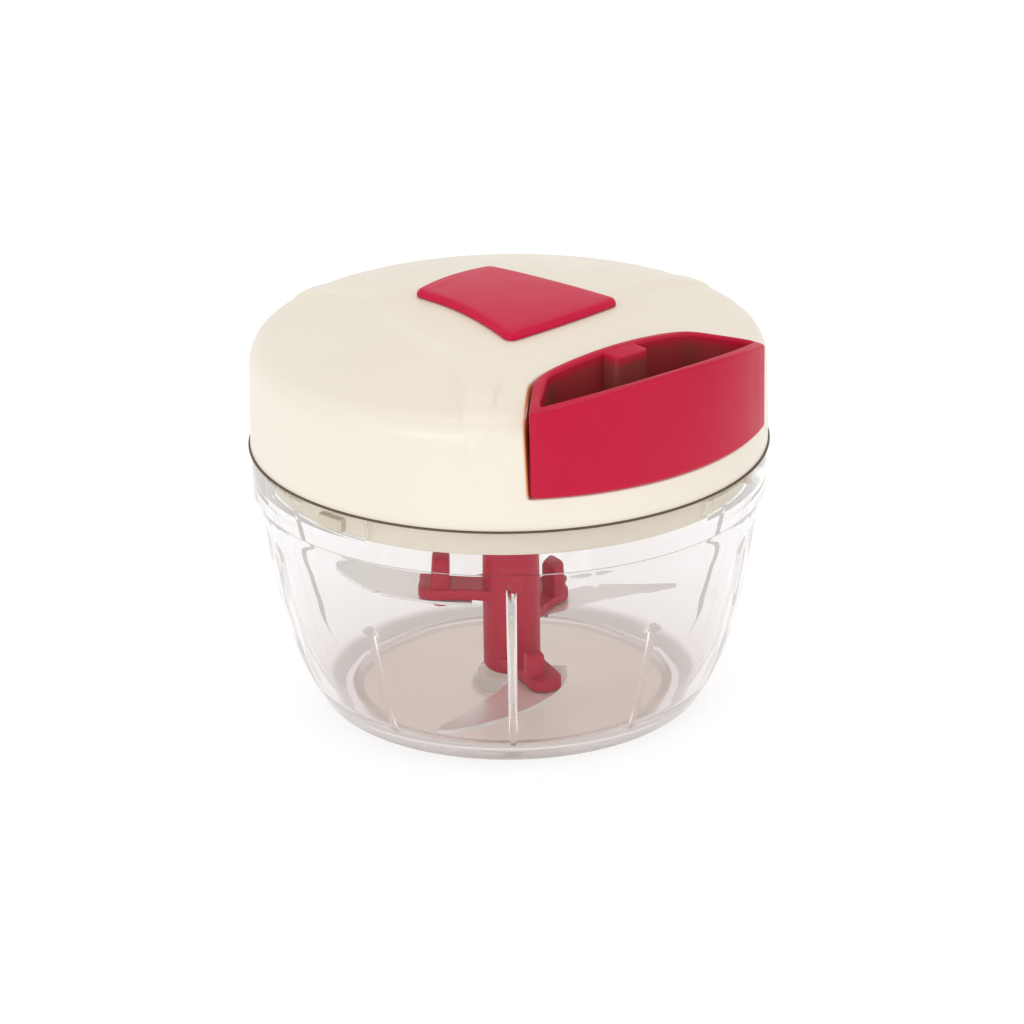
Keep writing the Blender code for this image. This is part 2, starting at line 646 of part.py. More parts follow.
def build_cord():
    mat = material("cord_white", (0.82, 0.81, 0.78), 0.8)
    steps = int(WIND_TURNS * 24)
    exit_angle = HANDLE_ANGLE + tangent_angle()
    points = []
    for i in range(steps + 1):
        turn = i / 24.0
        points.append(polar(WIND_R, exit_angle + 1.2 + 360.0 * turn,
                            WIND_HIGH - WIND_PITCH * turn))
    least = 1.0
    for i, a in enumerate(points):
        for b in points[i + 8:]:
            least = min(least, (a - b).length)
    print("winding: %.1f turns, least gap to itself %.2f mm"
          % (WIND_TURNS, least / MM - 2.0 * CORD_R))
    tube("cord_winding", points, mat)
    t = math.radians(tangent_angle())
    leave = Vector((WIND_R * math.cos(t), WIND_R * math.sin(t)))
    bend = Vector((HANDLE_BACK - 4.4, 0.0))
    along = (bend - leave).normalized()
    run = [leave + along * 0.45 + along * ((bend - leave).length - 3.2) * k / 8.0
           for k in range(9)]
    for k in range(1, 5):
        s = k / 5.0
        a = run[8]
        b = Vector((bend.x + 1.4, 0.0))
        run.append(a * (1 - s) ** 2 + bend * (2 * s * (1 - s)) + b * s * s)
    run.append(Vector((bend.x + 1.4, 0.0)))
    run.append(Vector((HANDLE_BACK - 0.9, 0.0)))
    tube("cord_run", [plan(p.x, p.y, CORD_Z) for p in run], mat)


def build_cord_guide():
    bm = bmesh.new()
    lathe(bm, [(1.3, 0.0), (4.2, 0.0), (4.2, 1.0), (2.6, 1.0), (2.6, 3.0), (1.3, 3.0)], 20)
    turn = direction(HANDLE_ANGLE).to_track_quat('Z', 'Y').to_matrix().to_4x4()
    bmesh.ops.transform(bm, matrix=turn, verts=bm.verts)
    start = plan(HANDLE_BACK - 0.6 - WALL_LID - GAP - 1.0, 0.0, CORD_Z)
    bmesh.ops.translate(bm, vec=start, verts=bm.verts)
    add_object("cord_guide", bm, material("guide_steel", (0.65, 0.65, 0.66), 0.3, 1.0))


def hexagon(flats):
    radius = flats / 2.0 / math.cos(math.pi / 6.0)
    return [polar(radius, 60.0 * i, 0.0) for i in range(6)]


def build_pulley():
    flange = WIND_R + FLANGE_H
    drum = WIND_R - CORD_R - GAP
    top = DRUM_HIGH + FLANGE_T
    bm = bmesh.new()
    lathe(bm, [(0.0, HUB_LOW), (HUB_R, HUB_LOW), (HUB_R, PULLEY_LOW), (flange, PULLEY_LOW),
               (flange, DRUM_LOW), (drum, DRUM_LOW), (drum, DRUM_HIGH), (flange, DRUM_HIGH),
               (flange, top), (CUP_R, top), (CUP_R, CUP_LOW), (0.0, CUP_LOW)], 40)
    pulley = add_object("pulley", bm, material("pulley_white", (0.8, 0.8, 0.79), 0.45))
    bm = bmesh.new()
    prism(bm, hexagon(HEX_FLATS), HEX_END, HUB_LOW + 1.0)
    boolean(pulley, cutter("guide_hex_drive", bm), 'UNION')


def build_thrust_washer():
    low = WASHER_LOW
    inner = HUB_R + 0.4
    bm = bmesh.new()
    lathe(bm, [(inner, low), (inner + 3.6, low), (inner + 3.6, low + 0.6), (inner, low + 0.6)], 24)
    add_object("thrust_washer", bm, material("washer_steel", (0.6, 0.6, 0.6), 0.35, 1.0))


def build_spring():
    """Flat spiral strip between the arbor and the drum's cup."""
    bm = bmesh.new()
    half = SPRING_T / 2.0
    first = ARBOR_R + half + 0.5
    last = CUP_R - half - GAP
    steps = int(SPRING_TURNS * 16)
    rings = []
    for i in range(steps + 1):
        s = i / steps
        r = first + (last - first) * s
        a = 360.0 * SPRING_TURNS * s
        corners = ((r - half, SPRING_LOW), (r + half, SPRING_LOW),
                   (r + half, SPRING_HIGH), (r - half, SPRING_HIGH))
        rings.append([bm.verts.new(polar(x, a, z)) for x, z in corners])
    for a, b in zip(rings, rings[1:]):
        for i in range(4):
            j = (i + 1) % 4
            bm.faces.new((a[i], a[j], b[j], b[i]))
    bm.faces.new(rings[0])
    bm.faces.new(rings[-1])
    add_object("recoil_spring", bm, material("spring_steel", (0.45, 0.46, 0.5), 0.3, 1.0))


def build_spring_cap():
    bm = bmesh.new()
    low = SPRING_HIGH + GAP
    inner = ARBOR_R + 0.6
    outer = CUP_R - GAP
    lathe(bm, [(inner, low), (outer, low), (outer, low + 1.2), (inner, low + 1.2)], 24)
    add_object("spring_cap", bm, material("cap_grey", (0.5, 0.5, 0.5), 0.5))


def build_spring_arbor():
    bm = bmesh.new()
    low = CUP_LOW + GAP + 0.1
    top = ceiling(0.19 * LID_R) - GAP
    lathe(bm, [(0.0, low), (ARBOR_R - 0.6, low), (ARBOR_R, low + 0.6), (ARBOR_R, top - 2.0),
               (ARBOR_R + 5.4, top - 2.0), (ARBOR_R + 5.4, top), (0.0, top)], 24)
    add_object("spring_arbor", bm, material("arbor_steel", (0.6, 0.6, 0.61), 0.3, 1.0))


# Rotor
ARMS = (("upper", -90.0, 25.8, 17.4), ("middle", 148.0, 17.8, 17.4), ("lower", 27.5, 8.6, 13.4))

# Plan outlines of the blades as photographed; they are scaled to reach the bowl's wall
CURVED = ((-9.6, -5.2), (-20.0, -3.4), (-31.2, 1.4), (-32.2, 4.2), (-34.8, 4.5),
          (-38.8, 10.8), (-42.0, 16.8), (-44.0, 21.6), (-41.0, 20.0), (-37.4, 17.8),
          (-35.8, 15.4), (-31.0, 12.2), (-24.0, 8.0), (-14.0, 5.4), (-9.6, 4.6))
LOW_CURVED = ((13.2, -5.0), (13.2, -12.0), (10.8, -19.5), (6.8, -26.5), (1.2, -32.8),
              (-5.6, -38.0), (-12.0, -40.9), (-17.6, -41.1), (-12.4, -35.8), (-8.2, -31.0),
              (-4.8, -26.0), (-1.2, -19.6), (1.4, -14.2), (3.4, -9.9), (5.4, -8.3), (9.4, -5.0))
# Outline, turn in plan, and clearance of the tip from the wall
BLADES = {"upper": (CURVED, 0.0, 4.2), "middle": (CURVED, -124.5, 2.9),
          "lower": (LOW_CURVED, 0.0, 1.9)}


def blade_outline(label, low):
    points, turn, clearance = BLADES[label]
    tip = max(math.hypot(x, y) for x, y in points)
    reach = (inside_radius(low - GAP - BLADE_T) - clearance) / tip
    spin = Matrix.Rotation(math.radians(turn), 3, 'Z')
    return [spin @ Vector((x * reach * MM, y * reach * MM, 0.0)) for x, y in points]


def build_blades():
    steel = material("blade_steel", (0.74, 0.74, 0.75), 0.16, 1.0)
    holes = bpy.data.objects["guide_peg_holes"]
    for label, angle, low, peg in ARMS:
        bm = bmesh.new()
        high = low - GAP
        prism(bm, blade_outline(label, low), high - BLADE_T, high)
        blade = add_object("blade_" + label, bm, steel, smooth=False)
        boolean(blade, holes)


def build_blade_shaft():
    bm = bmesh.new()
    lathe(bm, [(PIN_R + GAP, SHAFT_BOTTOM), (SHAFT_R - 1.2, SHAFT_BOTTOM),
               (SHAFT_R, SHAFT_BOTTOM + 1.4), (SHAFT_R, SHAFT_TOP),
               (5.4, SHAFT_TOP), (5.4, SHAFT_TOP - 1.0), (0.0, SHAFT_TOP - 1.0),
               (0.0, 14.6), (PIN_R + GAP, 14.6)], 40)
    shaft = add_object("blade_shaft", bm, material("rotor_crimson", (0.6, 0.02, 0.07), 0.35))
    bm = bmesh.new()
    for label, angle, low, peg in ARMS:
        turn = Matrix.Rotation(math.radians(angle), 3, 'Z')
        outline = [(-5.2, 3.0), (-4.6, 8.0), (-4.6, 19.0), (-3.6, 21.6), (-1.6, ARM_R),
                   (1.6, ARM_R), (3.6, 21.6), (4.6, 19.0), (4.6, 8.0), (5.2, 3.0)]
        points = [turn @ Vector((x * MM, -y * MM, 0.0)) for x, y in outline]
        prism(bm, points, low, low + ARM_T)
    boolean(shaft, cutter("guide_arms", bm), 'UNION')
    bm = bmesh.new()
    prism(bm, hexagon(HEX_FLATS + 2.0 * GAP), HEX_END - GAP, SHAFT_TOP + 2.0)
    boolean(shaft, cutter("guide_hex_socket", bm))
    bm = bmesh.new()
    for label, angle, low, peg in ARMS:
        disc(bm, polar(peg, angle, 0.0), 1.8, low - 3.0, low + ARM_T + 1.0, 16)
    boolean(shaft, cutter("guide_peg_holes", bm))


def build_pegs():
    mat = material("peg_crimson", (0.6, 0.02, 0.07), 0.4)
    for label, angle, low, peg in ARMS:
        bm = bmesh.new()
        under = low - 2.0 * GAP - BLADE_T
        top = low + ARM_T + GAP
        tall = 4.4 if label != "lower" else 3.4
        lathe(bm, [(0.0, under - 0.7), (1.8, under - 0.7), (PEG_R, under - 0.3),
                   (PEG_R, under), (PIN_R, under), (PIN_R, top), (PEG_R, top),
                   (PEG_R, top + tall - 0.5), (PEG_R - 0.5, top + tall),
                   (0.0, top + tall)], 16)
        place = polar(peg, angle, 0.0)
        add_object("blade_peg_" + label, bm, mat).location = place


def main():
    for obj in list(bpy.data.objects):
        bpy.data.objects.remove(obj, do_unlink=True)
    build_bowl()
    build_pivot_pin()
    build_rim_seal()
    build_lid_base()
    build_screws()
    build_lid_cover()
    build_badge()
    build_handle()
    build_cord_knot()
    build_cord()
    build_cord_guide()
    build_pulley()
    build_thrust_washer()
    build_spring()
    build_spring_cap()
    build_spring_arbor()
    build_blade_shaft()
    build_blades()
    build_pegs()


main()
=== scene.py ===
# %% [markdown]
# # A pull-cord food chopper
# A clear bowl, a cream lid with a red handle in its side, and a red rotor with three steel
# blades. Pulling the handle unwinds a cord from a drum under the dome, and the drum turns
# the rotor. The imported solids give every piece its place. This script builds the surfaces
# that are seen and paints them.

# %% Load the imported model
import bpy
import bmesh
import math
from mathutils import Matrix, Vector


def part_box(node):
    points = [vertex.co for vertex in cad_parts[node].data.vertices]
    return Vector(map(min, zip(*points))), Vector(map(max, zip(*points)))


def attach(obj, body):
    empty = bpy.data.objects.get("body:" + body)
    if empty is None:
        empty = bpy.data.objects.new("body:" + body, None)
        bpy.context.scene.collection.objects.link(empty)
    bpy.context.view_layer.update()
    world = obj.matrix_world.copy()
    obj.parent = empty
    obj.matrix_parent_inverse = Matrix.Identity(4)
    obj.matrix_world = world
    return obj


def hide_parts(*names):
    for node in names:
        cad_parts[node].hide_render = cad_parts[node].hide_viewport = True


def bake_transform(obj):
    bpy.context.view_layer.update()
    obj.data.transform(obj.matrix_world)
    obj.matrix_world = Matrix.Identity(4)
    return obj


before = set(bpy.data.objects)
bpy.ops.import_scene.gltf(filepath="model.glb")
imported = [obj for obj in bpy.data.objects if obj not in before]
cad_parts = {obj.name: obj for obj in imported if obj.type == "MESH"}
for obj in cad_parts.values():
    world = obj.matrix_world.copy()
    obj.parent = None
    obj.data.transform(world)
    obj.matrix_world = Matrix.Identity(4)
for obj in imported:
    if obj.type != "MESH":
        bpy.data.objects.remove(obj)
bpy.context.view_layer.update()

MM = 0.001

# %% [markdown]
# ## Camera
# The photograph was taken with a long lens, a little above the object. The joint between
# lid and bowl is a true circle, so the ellipse that it draws gives the tilt, the distance
# and the small roll of the camera. The camera is set by that tilt and distance rather than
# by eye.

# %% Camera
AIM = Vector((0.0, 0.0, 66.6 * MM))
DISTANCE = 1.26
ELEVATION = math.radians(20.896)
ROLL = math.radians(0.814)

camera_data = bpy.data.cameras.new("camera")
camera_data.sensor_width = 36.0
camera_data.lens = 183.23
camera_data.shift_x = 0.0029
camera_data.shift_y = -0.0741
camera_data.clip_end = 20.0
camera = bpy.data.objects.new("camera", camera_data)
bpy.context.scene.collection.objects.link(camera)
camera.location = AIM + DISTANCE * Vector((0.0, -math.cos(ELEVATION), math.sin(ELEVATION)))
look = (AIM - camera.location).to_track_quat('-Z', 'Y').to_matrix().to_4x4()
camera.rotation_euler = (look @ Matrix.Rotation(-ROLL, 4, 'Z')).to_euler()
bpy.context.scene.camera = camera
print("camera at", [round(v, 3) for v in camera.location])

# %% [markdown]
# ## Driving sizes
# The real chopper is about 126 mm across. The sizes that several pieces share are named
# here once, in millimetres, and turned into metres at the last moment, since 62.5 mm can be
# checked against a ruler. Heights that belong to one solid are read from its box. Angles
# are in degrees, start at the front and run to the right.

# %% Sizes of bowl and lid
RIM_Z = 0.5 * (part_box("rim_seal")[0].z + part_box("rim_seal")[1].z) / MM
RIM_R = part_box("rim_seal")[1].x / MM
LID_R = RIM_R - 0.5
COLLAR_R = LID_R - 0.2
COLLAR_IN_R = COLLAR_R - 3.4
SEAM = 0.22
BOWL_TOP = RIM_Z - SEAM
COVER_BOTTOM = RIM_Z + SEAM
COLLAR_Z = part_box("bowl")[1].z / MM - 10.5
BASE_R = 40.5
NECK_R = COLLAR_IN_R + 2.3
FLOOR_Z = 3.0
DECK_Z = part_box("lid_cover")[0].z / MM
DOME_RISE = 35.7
DOME_EDGE = 27.1
LOBE_DEPTH = 1.5
RIDGE_ANGLES = (-7.5, -123.0, 127.0)
LUG_ANGLES = (-43.4, 76.6, 196.6)
BADGE_ANGLE = 43.5
GAP = 0.3
print("joint line at", round(RIM_Z, 2), "mm, radius", round(RIM_R, 2), "mm")

# %% Sizes of handle and cord
HANDLE_ANGLE = 39.4
HANDLE_R = LID_R + 1.0
HANDLE_HALF = 36.7
HANDLE_BACK = 38.6
HANDLE_END = math.sqrt(HANDLE_R ** 2 - HANDLE_HALF ** 2)
HANDLE_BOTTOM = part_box("pull_handle")[0].z / MM
HANDLE_TOP = HANDLE_BOTTOM + 25.8
ARCH_HALF = 34.0    # this far from its middle the handle's top edge has dropped by ARCH_DROP
ARCH_DROP = 4.4
POCKET_LEAN = 0.044    # how much the recess's sides lean in for each step down
WALL = 2.6
CORD_R = 0.8
CORD_Z = 0.5 * (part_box("cord_run")[0].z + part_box("cord_run")[1].z) / MM
GUIDE_BEND = HANDLE_BACK - 4.4    # radius at which the cord bends in its guide
WIND_R = 20.0
print("cord at", round(CORD_Z, 2), "mm, bends at radius", round(GUIDE_BEND, 2), "mm")

# %% [markdown]
# ## Places in plan
# Everything on the lid sits at an angle round one upright axis, so a few functions turn
# "so far out, at this angle, so high" into a point. The handle has its own pair of
# directions, along its pull and across it.

# %% Plan helpers
def direction(angle):
    """Unit vector in plan for an angle in degrees from the front."""
    a = math.radians(angle)
    return Vector((math.sin(a), -math.cos(a), 0.0))


def polar(r, angle, z):
    """Point at a radius, plan angle and height in mm."""
    return (direction(angle) * r + Vector((0.0, 0.0, z))) * MM


def plan(u, v, z=0.0, angle=HANDLE_ANGLE):
    """Point along (u) and across (v) a plan direction, in mm."""
    d = direction(angle)
    side = Vector((-d.y, d.x, 0.0))
    return (d * u + side * v + Vector((0.0, 0.0, z))) * MM


def smoothstep(x):
    x = min(max(x, 0.0), 1.0)
    return x * x * (3.0 - 2.0 * x)


def smooth_line(points, steps):
    """A Catmull-Rom curve through points, with a number of steps between each pair."""
    points = [Vector(p) for p in points]
    ends = [2.0 * points[0] - points[1]] + points + [2.0 * points[-1] - points[-2]]
    line = []
    for a, b, c, d in zip(ends, ends[1:], ends[2:], ends[3:]):
        for i in range(steps):
            t = i / steps
            line.append(0.5 * (2.0 * b + (c - a) * t + (2.0 * a - 5.0 * b + 4.0 * c - d) * t ** 2
                               + (3.0 * b - a - 3.0 * c + d) * t ** 3))
    return line + [points[-1]]


def heading(line, k):
    """Unit direction of a line at one of its points."""
    return (line[min(k + 1, len(line) - 1)] - line[max(k - 1, 0)]).normalized()


print("the handle pulls towards", [round(v, 3) for v in direction(HANDLE_ANGLE)])

# %% [markdown]
# ## Mesh helpers
# Each piece is a closed skin over rings of points. Finished pieces have their doubles
# merged and their normals turned outwards. They then ride on a body of the frame and stand
# for the plain solids that they cover.

# %% Skins and blocks
def skin(bm, rings, wrap=True, around=True):
    """Quads between neighbouring rings. wrap joins last to first, around closes each ring."""
    made = [[bm.verts.new(p) for p in ring] for ring in rings]
    pairs = zip(made, made[1:] + made[:1]) if wrap else zip(made, made[1:])
    count = len(made[0]) if around else len(made[0]) - 1
    for a, b in pairs:
        for i in range(count):
            j = (i + 1) % len(a)
            bm.faces.new((a[i], a[j], b[j], b[i]))
    return made


def capped(rings, bm=None):
    """A skin over rings with a face on each end, in a new bmesh or in a given one."""
    bm = bmesh.new() if bm is None else bm
    made = skin(bm, rings, wrap=False)
    bm.faces.new(made[0])
    bm.faces.new(made[-1])
    return bm


def turned(profile, steps):
    """A closed profile of (radius, height) in mm, turned round the axis."""
    bm = bmesh.new()
    skin(bm, [[polar(r, 360.0 * i / steps, z) for r, z in profile] for i in range(steps)])
    return bm


def block(points, low, high, soft=0.0):
    """An upright block over a plan outline in metres, with softened edges."""
    bm = bmesh.new()
    verts = [bm.verts.new((p[0], p[1], low * MM)) for p in points]
    lifted = bmesh.ops.extrude_face_region(bm, geom=[bm.faces.new(verts)])
    top = [e for e in lifted["geom"] if isinstance(e, bmesh.types.BMVert)]
    bmesh.ops.translate(bm, vec=(0.0, 0.0, (high - low) * MM), verts=top)
    if soft:
        edges = {edge for vert in verts + top for edge in vert.link_edges}
        bmesh.ops.bevel(bm, geom=list(edges), offset=soft * MM, segments=2,
                        profile=0.5, affect='EDGES', clamp_overlap=True)
    return bm


print("skins and blocks take mm, and build at", MM, "metres each")

# %% Objects, cuts and finished pieces
def mesh_object(bm, name, *materials):
    """Clean a bmesh and make it an object at the origin."""
    bmesh.ops.remove_doubles(bm, verts=bm.verts, dist=1e-6)
    bmesh.ops.dissolve_degenerate(bm, edges=bm.edges, dist=1e-7)
    bmesh.ops.recalc_face_normals(bm, faces=bm.faces)
    mesh = bpy.data.meshes.new(name)
    bm.to_mesh(mesh)
    bm.free()
    obj = bpy.data.objects.new(name, mesh)
    bpy.context.scene.collection.objects.link(obj)
    for material in materials:
        mesh.materials.append(material)
    return obj


def settle(obj):
    """Turn an object's modifiers into a plain mesh."""
    graph = bpy.context.evaluated_depsgraph_get()
    mesh = bpy.data.meshes.new_from_object(obj.evaluated_get(graph))
    obj.modifiers.clear()
    obj.data = mesh


def carve(obj, bm, operation='DIFFERENCE'):
    """Cut a throwaway tool out of an object, or add it."""
    tool = mesh_object(bm, "tool")
    mod = obj.modifiers.new("carve", 'BOOLEAN')
    mod.operation = operation
    mod.solver = 'EXACT'
    mod.object = tool
    settle(obj)
    bpy.data.objects.remove(tool, do_unlink=True)


def smooth(obj, sharp=38.0):
    """Smooth shading, broken where two faces meet at more than an angle."""
    obj.data.shade_smooth()
    obj.data.set_sharp_from_angle(angle=math.radians(sharp))


def place(obj, body, slot, *nodes, sharp=38.0):
    """Smooth a finished piece, and fix it to its body and solids. The slot is not used."""
    smooth(obj, sharp)
    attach(obj, body)
    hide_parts(*nodes)
    print(obj.name, len(obj.data.polygons), "faces on", body)


# %% [markdown]
# ## Node helpers
# Shader trees and Geometry Nodes trees are both boxes and wires, so one function adds a
# box, sets its properties and wires or fills its inputs. Named group inputs keep sizes
# readable: the tree says "Rib depth", not a bare number inside a Math node.

# %% Boxes and numbers
def box(tree, kind, inputs=(), **props):
    """Add a node. inputs holds (socket, value or output) pairs."""
    made = tree.nodes.new(kind)
    for key, value in props.items():
        setattr(made, key, value)
    for key, value in inputs:
        if isinstance(value, bpy.types.NodeSocket):
            tree.links.new(value, made.inputs[key])
        else:
            made.inputs[key].default_value = value
    return made


def calc(tree, operation, a, b=0.0, c=0.0):
    """A Math node on two or three numbers or outputs."""
    return box(tree, 'ShaderNodeMath', [(0, a), (1, b), (2, c)], operation=operation).outputs[0]


def product(tree, first, *others):
    """Masks multiplied: it is 1 only where all of them are."""
    for other in others:
        first = calc(tree, 'MULTIPLY', first, other)
    return first


def remap(tree, value, start=0.0, end=1.0, low=0.0, high=1.0, **props):
    """Carry a number from the range start to end into the range low to high."""
    return box(tree, 'ShaderNodeMapRange', [("Value", value), (1, start), (2, end), (3, low),
                                            (4, high)], **props).outputs[0]


def ramp(tree, value, start, end):
    """0 at one measure in mm and 1 at the other, with soft ends."""
    return remap(tree, value, start * MM, end * MM, interpolation_type='SMOOTHSTEP')


def noise(tree, spot, scale, detail, **more):
    """The value of a noise texture at a spot."""
    inputs = [("Vector", spot), ("Scale", scale), ("Detail", detail), *more.items()]
    return box(tree, 'ShaderNodeTexNoise', inputs).outputs[0]


def blend(tree, factor, one, two):
    """Mix two colours, each an output or red, green and blue."""
    one, two = (c if isinstance(c, bpy.types.NodeSocket) else (*c, 1.0) for c in (one, two))
    return box(tree, 'ShaderNodeMix', [(0, factor), (6, one), (7, two)],
               data_type='RGBA').outputs[2]


def places(tree):
    """Object coordinates, the distance from the upright axis, and the height."""
    spot = box(tree, 'ShaderNodeTexCoord').outputs["Object"]
    x, y, z = box(tree, 'ShaderNodeSeparateXYZ', [(0, spot)]).outputs
    squares = calc(tree, 'MULTIPLY_ADD', x, x, calc(tree, 'MULTIPLY', y, y))
    return spot, calc(tree, 'SQRT', squares), z


print("trees measure in metres, so a ramp over 1 mm spans", MM)

# %% Groups and their use
def group(name, kind, takes, gives):
    """A node group with named inputs (name, socket type, value) and outputs."""
    tree = bpy.data.node_groups.new(name, kind)
    for label, socket, value in takes:
        made = tree.interface.new_socket(label, in_out='INPUT', socket_type=socket)
        if value is not None:
            made.default_value = value
    for label, socket in gives:
        tree.interface.new_socket(label, in_out='OUTPUT', socket_type=socket)
    entry = tree.nodes.new('NodeGroupInput')
    leave = tree.nodes.new('NodeGroupOutput')
    return tree, entry, leave


def finish_tree(tree, entry, leave, geometry):
    """End a Geometry Nodes tree: copies made real, and the material set."""
    real = box(tree, 'GeometryNodeRealizeInstances', [("Geometry", geometry)])
    painted = box(tree, 'GeometryNodeSetMaterial', [("Geometry", real.outputs[0]),
                                                    ("Material", entry.outputs["Material"])])
    tree.links.new(painted.outputs[0], leave.inputs[0])
    print(tree.name, "has", len(tree.nodes), "nodes")


def run_nodes(obj, tree, values):
    """Give a modifier its inputs by identifier, then keep the mesh that it makes."""
    mod = obj.modifiers.new(tree.name, 'NODES')
    mod.node_group = tree
    for item in tree.interface.items_tree:
        if item.in_out == 'INPUT' and item.name in values:
            mod[item.identifier] = values[item.name]
    settle(obj)


SKIN_OUTPUTS = [("Colour", 'NodeSocketColor'), ("Roughness", 'NodeSocketFloat'),
                ("Height", 'NodeSocketFloat')]
print("a surface group gives", ", ".join(label for label, kind in SKIN_OUTPUTS))

# %% [markdown]
# ## Finish: moulded plastic
# Moulded plastic is never one flat colour. The melt leaves clouds a few centimetres wide,
# a skin with a grain below a millimetre, and hands leave patches that shine less. One
# group makes all three from noise on Object coordinates, and each plastic sets its own
# colours and grain.

# %% Moulded plastic group
moulded, entry, leave = group(
    "moulded skin", 'ShaderNodeTree',
    [("Colour", 'NodeSocketColor', (0.8, 0.8, 0.8, 1.0)),
     ("Cloud colour", 'NodeSocketColor', (0.7, 0.7, 0.7, 1.0)),
     ("Cloud amount", 'NodeSocketFloat', 0.5),
     ("Roughness", 'NodeSocketFloat', 0.3),
     ("Grain", 'NodeSocketFloat', 0.5)], SKIN_OUTPUTS)
spot = box(moulded, 'ShaderNodeTexCoord').outputs["Object"]
clouds = noise(moulded, spot, 22.0, 3.0, Roughness=0.45)
touch = noise(moulded, spot, 95.0, 4.0, Distortion=0.6)
grain = noise(moulded, spot, 1500.0, 2.0)
share = product(moulded, remap(moulded, clouds, 0.35, 0.7), entry.outputs["Cloud amount"])
tint = blend(moulded, share, entry.outputs["Colour"], entry.outputs["Cloud colour"])
smudge = remap(moulded, touch, 0.4, 0.75, -0.02, 0.07)
rough = calc(moulded, 'ADD', entry.outputs["Roughness"], smudge)
moulded.links.new(tint, leave.inputs["Colour"])
moulded.links.new(rough, leave.inputs["Roughness"])
moulded.links.new(product(moulded, grain, entry.outputs["Grain"]), leave.inputs["Height"])


def material(name, colour, roughness, metallic=0.0, **sockets):
    """A material with a plain Principled shader and the constants set on it."""
    made = bpy.data.materials.new(name)
    made.use_nodes = True
    shader = made.node_tree.nodes["Principled BSDF"]
    shader.inputs["Base Color"].default_value = (*colour, 1.0)
    shader.inputs["Roughness"].default_value = roughness
    shader.inputs["Metallic"].default_value = metallic
    for key, value in sockets.items():
        shader.inputs[key.replace("_", " ")].default_value = value
    made.diffuse_color = (*colour, 1.0)
    return made, made.node_tree, shader


def wire_surface(tree, shader, surface, bump, distance):
    """Wire a surface group into a shader, its height as a bump."""
    relief = box(tree, 'ShaderNodeBump', [("Strength", bump), ("Distance", distance),
                                          ("Height", surface.outputs["Height"])])
    tree.links.new(surface.outputs["Colour"], shader.inputs["Base Color"])
    tree.links.new(surface.outputs["Roughness"], shader.inputs["Roughness"])
    tree.links.new(relief.outputs[0], shader.inputs["Normal"])


def plastic(name, colour, cloud, roughness, grain=0.5, **sockets):
    """A moulded plastic: the shader with the moulded skin wired in."""
    made, tree, shader = material(name, colour, roughness, **sockets)
    surface = box(tree, 'ShaderNodeGroup', [("Colour", (*colour, 1.0)),
                                            ("Cloud colour", (*cloud, 1.0)), ("Cloud amount", 0.5),
                                            ("Roughness", roughness), ("Grain", grain)],
                  node_tree=moulded)
    wire_surface(tree, shader, surface, 0.06, 0.0002)
    return made


CREAM = plastic("cream plastic", (0.9, 0.825, 0.7), (0.86, 0.775, 0.64), 0.34)
# Painted light: the deck plastic is the cream made lighter, for light lost through the bowl's
# wall.
DECK = plastic("deck plastic", (0.95, 0.86, 0.71), (0.92, 0.81, 0.64), 0.42)
# Painted shade: the lug plastic is the deck's cream made darker, for the lugs seen through the
# thick collar.
LUG = plastic("lug plastic", (0.86, 0.74, 0.58), (0.8, 0.68, 0.52), 0.45)
CRIMSON = plastic("crimson plastic", (0.57, 0.008, 0.043), (0.5, 0.006, 0.034), 0.4,
                  Specular_IOR_Level=0.18)
BADGE = plastic("badge plastic", (0.63, 0.008, 0.052), (0.56, 0.006, 0.044), 0.34, grain=0.8,
                Specular_IOR_Level=0.14)
ROTOR = plastic("rotor plastic", (0.5, 0.012, 0.04), (0.42, 0.008, 0.03), 0.4,
                Specular_IOR_Level=0.3)
DRIVE = plastic("drive plastic", (0.78, 0.78, 0.765), (0.7, 0.7, 0.68), 0.45)
CAP = plastic("cap plastic", (0.32, 0.32, 0.32), (0.27, 0.27, 0.27), 0.5)
SEAL = plastic("seal rubber", (0.13, 0.085, 0.045), (0.1, 0.06, 0.03), 0.55, grain=1.0)
print("plastics share the group", moulded.name)

# %% [markdown]
# Two places on the lid need more than the plain finish. The inside of the handle is deep
# and narrow, and is given painted shade: its colour turns dark brown further below the top
# edge. Beside the handle the cream edge is given a painted orange glow, an emission on the
# cream, with a painted brown shade line deeper in the gap. Both are masks worked out from
# the plan of the handle, so they follow the shape and not the picture.

# %% Measures in the handle's plan
def in_handle_plan(tree):
    """Plan measures along (u) and across (v) the handle, its radius and its height."""
    spot, radius, z = places(tree)
    d = direction(HANDLE_ANGLE)
    along, across = (box(tree, 'ShaderNodeVectorMath', [(0, spot), (1, axis)],
                         operation='DOT_PRODUCT').outputs["Value"]
                     for axis in (d, (-d.y, d.x, 0.0)))
    return along, calc(tree, 'ABSOLUTE', across), radius, z


def from_line(tree, u, v, start, slope):
    """Distance outwards from a plan line through start, at an angle in degrees."""
    a = math.radians(slope)
    du = calc(tree, 'MULTIPLY', calc(tree, 'SUBTRACT', u, start[0] * MM), -math.sin(a))
    return calc(tree, 'MULTIPLY_ADD', calc(tree, 'SUBTRACT', v, start[1] * MM), math.cos(a), du)


def below_arch(tree, v, z):
    """Distance down from the handle's arched top edge."""
    arch = calc(tree, 'POWER', calc(tree, 'DIVIDE', v, ARCH_HALF * MM), 2.0)
    arch = calc(tree, 'MULTIPLY', arch, ARCH_DROP * MM)
    return calc(tree, 'SUBTRACT', calc(tree, 'SUBTRACT', HANDLE_TOP * MM, arch), z)


print("the handle's top edge drops by", ARCH_DROP, "mm in", ARCH_HALF, "mm")
